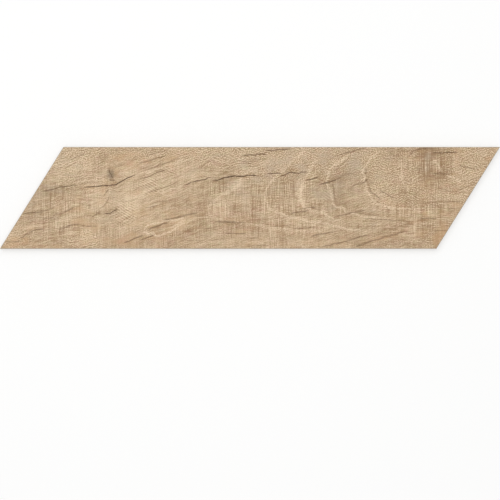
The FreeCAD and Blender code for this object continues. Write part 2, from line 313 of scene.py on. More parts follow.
# Other pale lines of the figure: brighter lengths of the rings, their flanks, and the eye
GROWTH = {
    "outer arch, high": Stroke(4.4, 0.42, ((242, 170.6), (251, 170.2), (260, 169.6))),
    "outer arch, bend": Stroke(4.0, 0.62, (
        (240.6, 177), (239.6, 184), (235, 188.4), (227, 192.6), (217, 197))),
    "outer arch, low": Stroke(1.7, 0.6, (
        (243, 221.8), (250, 223.5), (256, 224.8), (262, 225), (266, 226.5), (272, 227.5), (278, 227.8),
        (284, 228.5), (291, 228.7))),
    "outer arch, spot": Stroke(2.2, 0.65, ((249.2, 223.5), (252.6, 223.6))),
    "outer arch, last": Stroke(1.7, 0.55, (
        (294, 230.5), (302, 230.5), (313, 231), (321, 231.2), (325, 232.4))),
    "second arch, high": Stroke(3.2, 0.8, ((305, 150.5), (301, 153.8), (299, 156.5), (296.6, 159.5))),
    "third arch, high": Stroke(3.0, 0.6, ((317, 157.5), (314, 163), (310.5, 169), (307, 176))),
    "second arch, low": Stroke(2.0, 0.6, ((288, 216.6), (292, 217.3), (296, 217.2))),
    "second arch, last": Stroke(2.0, 0.45, ((334, 225.2), (339, 226.4), (346, 228.6))),
    "third arch, broad": Stroke(5.4, 0.7, ((304, 182.5), (301.6, 189), (300.6, 196), (302.5, 205))),
    "third arch, foot": Stroke(2.6, 0.5, ((303, 206), (309, 208.6), (315, 210.6), (320, 211.6))),
    "third arch, drop": Stroke(1.8, 0.5, ((324.4, 206), (325, 212), (328.4, 216))),
    "fourth arch, high": Stroke(3.8, 0.75, ((347.6, 156.6), (343, 160), (338, 163), (333, 166))),
    "fourth arch, bend": Stroke(3.2, 0.55, ((330, 169.4), (328.6, 175), (327, 181))),
    "fourth arch, foot": Stroke(2.8, 0.6, ((338.4, 206.6), (342, 207.2), (345.6, 210.6))),
    "fourth arch, side": Stroke(1.5, 0.5, ((344.6, 208.8), (349, 209.8), (353, 211.9))),
    "fourth arch, low": Stroke(1.6, 0.3, ((352, 212.7), (358, 214.5), (366, 216.5), (378, 217.2))),
    "fifth arch, high": Stroke(3.2, 0.75, ((377, 154), (373, 157), (369.6, 160.4), (367, 164.4))),
    "fifth arch, bend": Stroke(3.8, 0.8, ((364, 169.4), (363.6, 173.6), (365, 179))),
    "fifth arch, side": Stroke(2.4, 0.55, ((366.4, 184), (366.8, 190.4), (371, 196.2))),
    "fifth arch, inside": Stroke(2.2, 0.42, ((372.4, 190), (374.4, 191.6), (379.6, 188))),
    "fifth arch, foot": Stroke(4.4, 0.25, ((369.6, 199), (374.6, 204), (384, 205.6), (395, 205.4))),
    "fifth arch, low": Stroke(1.6, 0.4, ((398, 208), (410, 208.2), (422, 208.1))),
    "inner arch": Stroke(1.8, 0.55, ((214, 204.2), (222, 203), (228, 202.5), (235, 201.5), (239.6, 203.6))),
    "inner arch, foot": Stroke(2.6, 0.45, ((230, 217.2), (237, 217))),
    "upright dash": Stroke(3.4, 0.32, ((316, 241.2), (306, 240.8))),
    "eye, upper": Stroke(2.5, 0.95, (
        (143, 231.4), (145, 228), (147, 226), (150, 224.6), (155, 223.5), (160, 222.6), (165, 221),
        (170, 220.4), (175, 220.4), (181, 218.6), (188, 217.8))),
    "eye, left end": Stroke(3.8, 0.85, ((143.4, 232.5), (150.6, 232.8))),
    "eye, lower": Stroke(2.8, 1.0, (
        (149, 232.4), (153, 233.2), (155, 235.5), (158, 236), (162, 234.8), (166, 233.2), (170, 231.5),
        (175, 229), (181, 225.6))),
    "eye, bright tip": Stroke(7.0, 0.62, ((170, 229.4), (177, 225.6), (182, 222.3), (185, 218.6))),
    "eye, edge of the tip": Stroke(1.7, 0.5, ((196, 217.6), (188, 222), (186, 226), (180, 229.4))),
    "flank over the eye": Stroke(2.4, 0.52, (
        (137, 220), (146, 216.9), (153, 213.8), (160, 211.5), (165, 209.8), (170, 208.5), (179, 207.3))),
    "flank over the eye, bright": Stroke(1.6, 0.6, ((142, 217.8), (148, 216.9))),
    "pale dash": Stroke(1.9, 0.85, ((147.4, 207.3), (151, 205.7), (154, 204.8), (158, 203.6))),
    "middle flank": Stroke(3.0, 0.52, ((150, 197), (158, 193.7), (167.6, 191), (174, 188.2), (183, 185.6))),
    "middle flank, bright": Stroke(3.4, 0.6, ((168.6, 190.3), (175, 188))),
    "upper flank": Stroke(2.3, 0.52, (
        (144, 174), (150, 171.5), (153, 170.8), (160, 168.2), (167, 165.4), (170, 164), (173, 163.5),
        (176, 164), (178.5, 168), (178.5, 172), (177.5, 176.6))),
    "upper flank, bright": Stroke(3.4, 0.6, ((145, 173.5), (154, 170.6))),
    "upper flank, right": Stroke(2.0, 0.55, (
        (166, 165.9), (170, 164), (173, 163.2), (176, 162.3), (184, 158.8))),
    "flank over the knot": Stroke(2.6, 0.48, (
        (123, 170.2), (135, 165.4), (143, 161), (148, 158.8), (155, 157), (162, 154.2))),
    "flank over the knot, bright": Stroke(3.4, 0.65, ((149, 158.2), (155, 156.7))),
    "top flank": Stroke(1.9, 0.6, ((166, 151), (172, 150), (178, 149.1))),
    "top, pale": Stroke(2.0, 0.6, ((197.4, 152.6), (201.6, 152.3))),
    "top, pale second": Stroke(1.8, 0.42, ((199.4, 150.3), (207, 149.9))),
    "left top": Stroke(2.6, 0.42, ((64, 155.5), (69, 152.2), (76, 149.8))),
    "over the thick split": Stroke(2.5, 0.65, (
        (74, 182.8), (80, 181.8), (85, 180.8), (90, 180), (98, 179.3))),
    "over the left split": Stroke(2.4, 0.4, ((27, 209.2), (36, 208.4), (47, 206.8))),
    "left band": Stroke(3.0, 0.55, ((21, 228.2), (30, 227.4), (37, 226.2), (44, 226))),
    "under the knot": Stroke(2.8, 0.42, ((110, 188.3), (107.6, 195), (105, 201), (103.4, 206.5))),
    "swirl, dot": Stroke(1.9, 0.65, ((104.1, 203.7), (105.3, 202.9))),
    "swirl, second dot": Stroke(1.9, 0.55, ((113, 217.3), (114.2, 216.7))),
    "bright line": Stroke(1.5, 0.65, ((199, 217.4), (209, 217.3))),
    "left of middle, climb": Stroke(1.8, 0.5, ((202, 242.4), (210, 238.5), (214, 235), (218, 233.1))),
    "lower seam, pale": Stroke(1.8, 0.55, ((235, 236.1), (244, 236))),
    "lower seam, pink": Stroke(1.5, 0.42, ((244, 236.4), (258, 236.3))),
    "bottom, pink": Stroke(2.4, 0.36, ((242, 242), (263, 242))),
    "bottom, yellow": Stroke(4.4, 0.26, ((224, 243), (236, 242.6))),
    "lower right, thin": Stroke(1.6, 0.3, ((348, 229.4), (360, 229.7), (376, 229.7))),
    "lower right, short": Stroke(1.4, 0.5, ((358, 233.6), (366, 233.4))),
    "right top": Stroke(3.2, 0.7, ((433, 158.8), (437, 163.5), (440, 168), (442, 171.4))),
    "right top, second": Stroke(3.2, 0.85, ((446.6, 175.8), (452, 177), (456, 179.5), (461, 182.8))),
    "right end, top": Stroke(1.8, 0.6, ((468, 152.7), (480, 152.4), (495, 152))),
    "right end, spot": Stroke(2.2, 0.55, ((481.4, 155.7), (488, 154.9))),
    "right pale flank": Stroke(3.4, 0.4, ((446, 196.8), (454, 197.6), (463, 195.6))),
    "right box": Stroke(4.6, 0.4, ((427, 214.6), (439, 214))),
}

# Single marks of the saw, which stand upright: dark ones are above zero and pale ones below
SAW_MARKS = {
    "dotted": Stroke(1.9, 1.0, ((50.4, 191.3), (50.4, 210.4))),
    "left, faint": Stroke(1.3, 0.4, ((43.4, 212), (43.4, 246))),
    "left, second": Stroke(1.3, 0.5, ((62.8, 185), (62.8, 201))),
    "left, third": Stroke(1.2, 0.35, ((55, 189), (55, 201))),
    "left, fourth": Stroke(1.2, 0.3, ((46, 190.6), (46, 200))),
    "left of the knot": Stroke(1.4, -0.4, ((96.4, 164), (96.4, 183))),
    "left of the knot, second": Stroke(1.3, -0.35, ((103, 165), (103, 182))),
    "under the knot": Stroke(1.6, -0.5, ((109.6, 187), (109.6, 194))),
    "comb, first": Stroke(1.2, 0.4, ((82, 189.6), (82, 198))),
    "comb, second": Stroke(1.2, 0.35, ((85.2, 189.6), (85.2, 198))),
    "far left low": Stroke(1.2, 0.4, ((77, 205), (77, 222))),
    "orange column": Stroke(2.0, 0.25, ((80, 195), (80, 213))),
    "left low": Stroke(1.3, 0.35, ((91.6, 217), (91.6, 234))),
    "pale column": Stroke(3.0, -0.35, ((135, 194), (135, 224))),
    "over the long black": Stroke(1.4, 0.45, ((223.5, 164), (223.5, 186))),
    "inner arch, left": Stroke(1.3, -0.55, ((225.4, 204), (225.4, 215))),
    "inner arch, second": Stroke(1.3, -0.45, ((228.6, 204), (228.6, 215))),
    "inner arch, right": Stroke(1.4, -0.5, ((240.6, 196), (240.6, 220))),
    "middle, green": Stroke(1.5, -0.25, ((245, 196), (245, 208))),
    "middle, dark": Stroke(3.2, 0.45, ((253, 195), (253, 223))),
    "middle, second": Stroke(1.6, 0.3, ((258.6, 178), (258.6, 240))),
    "middle, pale": Stroke(1.4, -0.3, ((262.4, 178), (262.4, 236))),
    "comb, lower": Stroke(1.3, 0.5, ((281, 221), (281, 248))),
    "comb, lower second": Stroke(1.3, 0.45, ((283.6, 221), (283.6, 248))),
    "orange, low": Stroke(2.0, 0.35, ((236, 239.4), (236, 248))),
    "second arch, dark": Stroke(2.4, 0.35, ((292.8, 177), (292.8, 191))),
    "second arch, pale": Stroke(1.2, -0.3, ((285.6, 150), (285.6, 170))),
    "fourth arch, pale": Stroke(1.4, -0.6, ((340.7, 207.4), (340.7, 219.6))),
    "right low, dark": Stroke(1.3, 0.35, ((358.8, 219), (358.8, 240))),
    "right low, second": Stroke(1.2, 0.3, ((346.6, 216), (346.6, 238))),
    "right, dark": Stroke(1.3, 0.45, ((396.7, 186), (396.7, 229))),
    "right, pale": Stroke(1.3, -0.45, ((395.2, 200), (395.2, 224))),
    "cloth, pale": Stroke(2.4, -0.3, ((415, 206), (415, 245))),
    "cloth, dark": Stroke(1.5, 0.6, ((422.6, 199), (422.6, 248))),
    "cloth, second": Stroke(1.4, 0.55, ((405.3, 197), (405.3, 233))),
    "cloth, olive": Stroke(2.6, 0.4, ((407.2, 208.6), (407.2, 216.6))),
    "cloth, purple": Stroke(1.7, 0.5, ((432.6, 222), (432.6, 231))),
    "brown patch, dark": Stroke(2.2, 0.65, ((431.6, 152), (431.6, 173))),
    "brown patch, left": Stroke(1.4, 0.4, ((424.4, 150), (424.4, 185))),
    "brown patch, second": Stroke(1.4, 0.65, ((441.4, 154), (441.4, 171))),
    "brown patch, third": Stroke(1.4, 0.55, ((444.6, 154), (444.6, 171))),
    "brown patch, fourth": Stroke(1.4, 0.65, ((448.2, 154), (448.2, 171))),
    "right dotted": Stroke(1.4, 0.95, ((451.7, 149), (451.7, 179))),
    "right pale, far": Stroke(1.3, -0.5, ((465, 148), (465, 160))),
    "right dark, low": Stroke(1.8, 1.0, ((440.6, 206.4), (440.6, 228.6))),
    "right pale, low": Stroke(1.3, -0.7, ((439.7, 226.6), (439.7, 245))),
    "right dark, lowest": Stroke(1.3, 0.55, ((438.2, 233), (438.2, 243))),
}

# Rounds, as soft_round takes them, and what each adds to the tone and to the warmth
SHARED_PATCHES = (
    ((70, 163, 22, 15), 0.14, -0.5), ((132, 203, 13, 13), 0.2, 0.1), ((97, 193, 9, 13), 0.12, 0.3),
    ((87, 237, 11, 10), 0.14, 0.4), ((8, 243, 14, 6), 0.08, 0.6), ((12, 235, 5, 6, 30), 0.16, 0.5),
    ((150, 186, 18, 8, 25), 0.05, 0.1), ((216, 211, 8, 7), 0.18, 0.6), ((222, 201, 10, 5, 15), 0.1, 0.2),
    ((301, 196, 3.4, 11), 0.24, 0.5), ((272, 163, 15, 5, 25), 0.08, -0.6),
    ((302, 153, 10, 7, 35), 0.07, -0.3), ((381, 196, 10, 14, -20), 0.1, -0.3),
    ((388, 203.5, 9, 4, -12), 0.08, 0.7), ((325, 225, 22, 6, -8), 0.07, -0.3),
    ((230, 187.5, 14, 3.6, 40), 0.14, -0.5), ((245, 202, 4.5, 7), 0.08, -1),
    ((455.5, 164, 3.4, 11), 0.18, 0.8), ((185, 223, 10, 5, 25), 0.1, 0.3), ((375, 163, 8, 12), 0.05, -0.3),
    ((343, 160, 8, 4, 25), 0.07, -0.2), ((414, 215, 5, 26), 0.06, 0.3), ((433, 212.5, 6, 4.5), 0.2, -0.1),
    ((55, 203, 16, 6, 20), 0.04, -0.1), ((75, 216, 20, 5, 22), 0.08, 0.1),
    ((66, 219.5, 3.4, 2.2, 20), 0.16, -0.2), ((57, 222.5, 1.8, 1.8), 0.3, -0.8),
    ((57, 227.5, 1.8, 1.8), 0.22, -0.8), ((30, 226.5, 14, 3, 6), 0.1, 0.4),
    ((30, 209.4, 8, 1.6, 4), 0.08, -0.6), ((103.5, 193, 3, 3.8), 0.1, 0.8),
    ((108.4, 179, 1.8, 1.8), 0.14, -1), ((156, 228, 11, 3.6, 18), -0.14, 0.4),
    ((55, 189, 19, 5, 8), -0.18, -0.5), ((38, 212, 17, 4.5, 4), -0.12, -0.4), ((112, 175, 6, 8), -0.1, 0.5),
    ((116.6, 173.5, 2.2, 3.2), -0.1, 1.2), ((101, 157, 3.6, 7.5), -0.14, -0.5),
    ((82.5, 188.7, 3.2, 1.6), -0.22, 0.7), ((115, 212, 11, 5, 10), -0.09, -0.3),
    ((142.5, 208.8, 4, 1.8, 15), -0.14, 0.6), ((225, 179, 17, 5, 14), -0.13, -0.3),
    ((230, 181.5, 10, 3, 8), -0.1, 0.4), ((235, 152.2, 3.6, 1.8), -0.22, -0.4),
    ((219.5, 156, 3.8, 1.8), -0.09, -0.9), ((215.5, 162, 3.4, 2.6, 40), -0.12, 0.4),
    ((289, 174, 17, 5, 5), -0.14, -0.5), ((293, 170, 5, 1.8), -0.08, 1.2), ((322, 180, 6, 7), -0.12, -0.4),
    ((339, 178, 14, 8, 28), -0.26, -0.2), ((345, 198, 8, 13), -0.08, -0.5),
    ((339.5, 195, 3.4, 6.5), -0.12, 0.4), ((354, 165, 8, 10), -0.1, -1.4), ((369, 181, 7, 6, 40), -0.1, -0.1),
    ((384, 155, 9, 3.4), -0.09, 0.7), ((433, 176, 16, 8), -0.18, 0.5), ((427, 162, 3.6, 11), 0.02, -1),
    ((444.5, 162, 4.4, 8), -0.04, 0.9), ((418, 158.6, 2.8, 2.2), -0.12, 0.8),
    ((420, 151.4, 5, 1.6), -0.1, 1.4), ((440, 149, 24, 5), -0.12, 0.2), ((245, 225, 20, 7, -4), -0.15, 0.6),
    ((253.5, 227, 3, 2.5), -0.14, 0.7), ((234, 207, 5, 5), -0.22, -0.1), ((203, 210, 8, 11), -0.12, 0.5),
    ((201, 208.6, 4, 2), -0.04, -1.2), ((200, 213.6, 4, 2), -0.04, 1.2), ((206, 227, 11, 4), -0.03, -0.2),
    ((172, 204, 16, 7), -0.09, 0.4), ((190, 206, 10, 7), -0.06, 0.4), ((444, 240, 12, 14), -0.18, 1.2),
    ((436, 238, 4, 8), -0.12, 0.9), ((435, 242.5, 2.4, 2.6), 0.1, 1.6), ((434, 205.3, 10, 2.4), -0.08, -1.2),
    ((424.6, 213.5, 2.4, 3), -0.1, 1.2), ((455.5, 191, 4, 1.8), -0.14, 0.9),
    ((392, 235, 26, 8, 18), -0.11, 0.5), ((358, 245, 3.4, 1.8), -0.16, -0.6),
    ((412, 245, 10, 2.4), -0.14, -0.5), ((120, 244, 14, 4, 15), -0.05, 0.6),
    ((22, 245, 13, 4, 10), -0.12, 0.7), ((26, 240.5, 3, 4.5), -0.2, 0.8), ((54, 237.5, 2.8, 3.4), -0.2, 0.5),
    ((61.5, 232.5, 2.2, 3.6), -0.16, -0.5), ((54, 234, 9, 7), -0.04, 0.2), ((268, 151, 18, 4), -0.1, -0.2),
    ((405, 193, 8, 11), -0.09, 0.1), ((160, 157, 9, 8), -0.06, -0.2), ((118, 156, 20, 10), -0.05, 0.6),
    ((150, 241, 34, 5, 6), -0.06, 0.6), ((326, 240, 24, 6, 6), -0.08, 0.5), ((300, 234, 13, 4.5), -0.05, 0.7),
    ((343, 152, 18, 4, 15), -0.07, -0.7), ((202, 236, 10, 10), -0.05, -0.4), ((84, 176, 11, 9), -0.05, -0.1),
    ((480, 168, 10, 10, 30), -0.05, 0.5), ((476, 167.5, 5, 2.4), -0.08, -1), ((483, 170, 3, 2.6), -0.04, 1.4),
    ((488, 158, 3, 2.4), -0.08, 1.2), ((456, 206, 8, 14, 30), -0.05, 0.8), ((448, 222, 7, 9, 40), 0.06, -0.6),
    ((388, 214, 14, 5, -5), -0.05, 0.3), ((56, 199, 9, 4.5, 5), -0.15, -0.2),
    ((31, 206, 5, 9, -20), -0.13, -1.1), ((78, 228, 7, 6), -0.14, 0.6), ((110, 241, 9, 4), -0.07, 0.2),
    ((120, 205, 12, 14), 0.06, 0.2), ((126, 170, 9, 6), 0.11, 0.3), ((151, 172, 9, 5, 20), 0.07, 0.2),
    ((168, 235, 10, 5, 15), -0.08, 0.2), ((253, 207, 4, 7), -0.16, 0.2), ((257, 168, 7, 4), -0.12, -0.4),
    ((268, 238, 9, 5), 0.11, 0.2), ((306, 210, 8, 4, -10), -0.03, 1), ((325, 240, 8, 7), 0.1, 0.2),
    ((386, 237, 20, 4, 18), -0.03, 0.8), ((395, 150, 11, 3), -0.12, 0.3), ((395, 187, 6, 5), -0.12, 0.2),
    ((418, 197, 7, 10), -0.11, 0.2), ((93, 170, 5, 5), -0.09, 0.4), ((95, 228, 9, 5), -0.08, 0.2),
    ((300, 155, 6, 5), 0.07, 0.2), ((337, 244, 10, 4), 0.06, 0.2), ((80, 190, 80, 60), 0.03, 0.1),
    ((175, 190, 50, 60), 0.03, 0.1),
)

# Rounds by what they add to the tone alone, where the palest and the darkest are 1 apart
TONE_PATCHES = {
    0.14: ((225, 214, 7, 5),),
    0.12: ((76, 213, 2.2, 4), (475, 173, 8, 6), (73, 203, 6, 4)),
    0.11: ((325, 180, 5, 5),),
    0.1: ((184, 178, 10, 6, 15), (240, 176, 4, 4)),
    0.09: (
        (412, 162, 7, 7), (90, 186, 5, 4), (128, 177, 7, 5), (241, 172, 6, 6), (130, 177, 5, 5),
        (194, 178, 6, 3), (313, 178, 5, 4), (222, 196, 7, 2.5), (416, 162, 4, 5), (443, 168, 4, 4),
        (410, 198, 4, 4),
    ),
    0.08: (
        (467, 176, 14, 12), (378, 180, 5, 9), (68, 246, 6, 3), (196, 165, 5, 5), (243, 157, 5, 5),
        (285, 179, 3, 4), (302, 150, 6, 3), (287, 208, 3, 4), (473, 173, 8, 4), (374, 197, 5, 3),
        (358, 207, 5, 5), (453, 204, 5, 7), (420, 227, 4, 5), (392, 228, 5, 4), (466, 195, 3, 4),
        (86, 236, 8, 9),
    ),
    0.07: (
        (180, 168, 24, 9, 28), (312, 172, 4, 8), (270, 219, 8, 5), (137, 228, 8, 4), (127, 204, 4, 16),
        (84, 229, 3, 7), (185, 221, 4, 4), (300, 241, 8, 5), (428, 172, 14, 12),
    ),
    0.06: (
        (302, 244, 14, 4), (476, 180, 8, 6), (330, 175, 3, 8, -20), (85, 236, 6, 8), (91, 151, 4, 4),
        (93, 186, 4, 5), (39, 236, 5, 4), (213, 155, 7, 5), (179, 169, 4, 5), (312, 190, 3, 8),
        (338, 165, 5, 3), (280, 223, 4, 4), (330, 243, 8, 4), (365, 223, 12, 3), (102, 230, 5, 5),
        (190, 229, 4, 4),
    ),
    0.05: (
        (125, 210, 6, 8), (85, 160, 4, 12), (437, 165, 6, 8), (457, 200, 6, 6), (241, 154, 5, 8),
        (150, 184, 4, 3), (76, 205, 5, 6), (97, 197, 4, 6), (135, 233, 4, 5), (57, 211, 5, 4),
        (223, 178, 7, 3), (257, 240, 6, 5), (429, 187, 3, 5), (433, 207, 3, 9), (86, 168, 5, 10),
        (85, 165, 4, 8), (54, 185, 6, 5), (101, 206, 4, 5), (125, 228, 5, 4), (272, 170, 4, 4),
        (310, 185, 4, 6), (431, 230, 5, 6), (393, 212, 5, 4), (415, 165, 4, 5), (440, 174, 3, 6),
        (310, 245, 14, 3),
    ),
    0.04: (
        (80, 164, 12, 11), (350, 200, 10, 5), (380, 212, 12, 3), (380, 236, 10, 4), (431, 160, 5, 8),
        (200, 180, 14, 4), (235, 180, 5, 8), (350, 197, 7, 4), (464, 175, 5, 4), (228, 206, 5, 4),
        (146, 196, 4, 6),
    ),
    -0.03: ((445, 190, 60, 60), (322, 162, 10, 10)),
    -0.04: (
        (25, 222, 14, 14), (405, 150, 20, 5), (210, 212, 6, 12), (72, 198, 4, 6), (262, 155, 10, 5),
        (206, 196, 4, 4),
    ),
    -0.05: (
        (438, 240, 6, 8), (190, 229, 6, 5), (175, 240, 16, 6, 10), (348, 212, 8, 4), (136, 207, 3, 4),
        (95, 164, 4, 6), (25, 240, 3, 5), (262, 177, 3, 6), (200, 188, 6, 3), (330, 158, 20, 8),
        (370, 162, 10, 8), (418, 192, 6, 8), (276, 152, 10, 4), (341, 172, 6, 8), (358, 158, 6, 6),
        (404, 187, 6, 6), (463, 156, 9, 7), (488, 162, 4, 4), (290, 191, 4, 5), (60, 230, 6, 5),
        (275, 232, 4, 4),
    ),
    -0.06: (
        (203, 205, 9, 8), (395, 157, 8, 8), (360, 178, 8, 8), (122, 184, 3, 4), (107, 179, 3, 4),
        (82, 186, 3, 7), (70, 195, 5, 3), (74, 222, 5, 4), (27, 211, 4, 3), (148, 221, 4, 3),
        (277, 187, 3, 6), (290, 188, 3, 3), (192, 218, 4, 5), (234, 236, 5, 2.5), (320, 175, 3, 10),
        (405, 155, 6, 3), (438, 222, 4, 3), (461, 170, 6, 4), (365, 230, 8, 2), (455, 150, 12, 4),
        (437, 241, 4, 6), (427, 167, 3, 7), (267, 205, 4, 4), (134, 206, 4, 6), (290, 232, 4, 4),
        (421, 195, 3, 4),
    ),
    -0.07: (
        (115, 183, 4, 5), (320, 178, 3, 5), (310, 160, 6, 5), (336, 155, 8, 5), (388, 190, 4, 5),
        (405, 196, 8, 7), (446, 184, 5, 5), (222, 221, 13, 4), (350, 213, 8, 2.5, -15), (406, 230, 4, 3),
        (487, 163, 7, 8, 30),
    ),
    -0.08: (
        (225, 188, 7, 3, 10), (285, 152, 13, 4), (319, 214, 8, 4, -15), (425, 223, 9, 10), (369, 166, 6, 9),
        (422, 182, 5, 6), (128, 169, 5, 3), (58, 224, 4, 5), (165, 150, 5, 4), (168, 216, 6, 3),
        (213, 204, 9, 3), (206, 212, 4, 4), (225, 222, 6, 2.5), (340, 173, 9, 4), (245, 208, 9, 4),
        (335, 205, 6, 3), (392, 168, 3, 8), (423, 151, 6, 4), (417, 208, 9, 4), (405, 245, 4, 4),
    ),
    -0.09: (
        (324, 168, 3.5, 17, -20), (438, 210, 4, 7, -30), (43, 189, 6, 3), (273, 148, 7, 3), (283, 168, 3, 3),
        (294, 204, 3, 3), (288, 228, 6, 4), (309, 162, 3, 4), (337, 158, 6, 4), (404, 186, 4, 4),
        (423, 195, 4, 4), (443, 187, 4, 3),
    ),
    -0.1: (
        (50, 220, 12, 5, 10), (351, 170, 7, 6), (391, 165, 6, 9), (490, 157, 6, 8, 30), (56, 203, 17, 3, 12),
        (60, 215, 6, 3), (192, 228, 5, 5), (425, 175, 6, 5), (398, 225, 7, 6), (370, 176, 6, 4),
        (439, 238, 5, 6),
    ),
    -0.11: ((335, 205, 9, 5, -30), (445, 180, 5, 8)),
    -0.12: ((80, 180, 6, 4),),
    -0.14: ((403.5, 230, 4, 2.6), (422, 152, 8, 5), (422, 203, 5, 5)),
    -0.15: ((285, 180, 8, 5, 10),),
    -0.2: ((186, 229, 5, 4, 15),),
    -0.22: ((434, 160, 22, 15),),
}

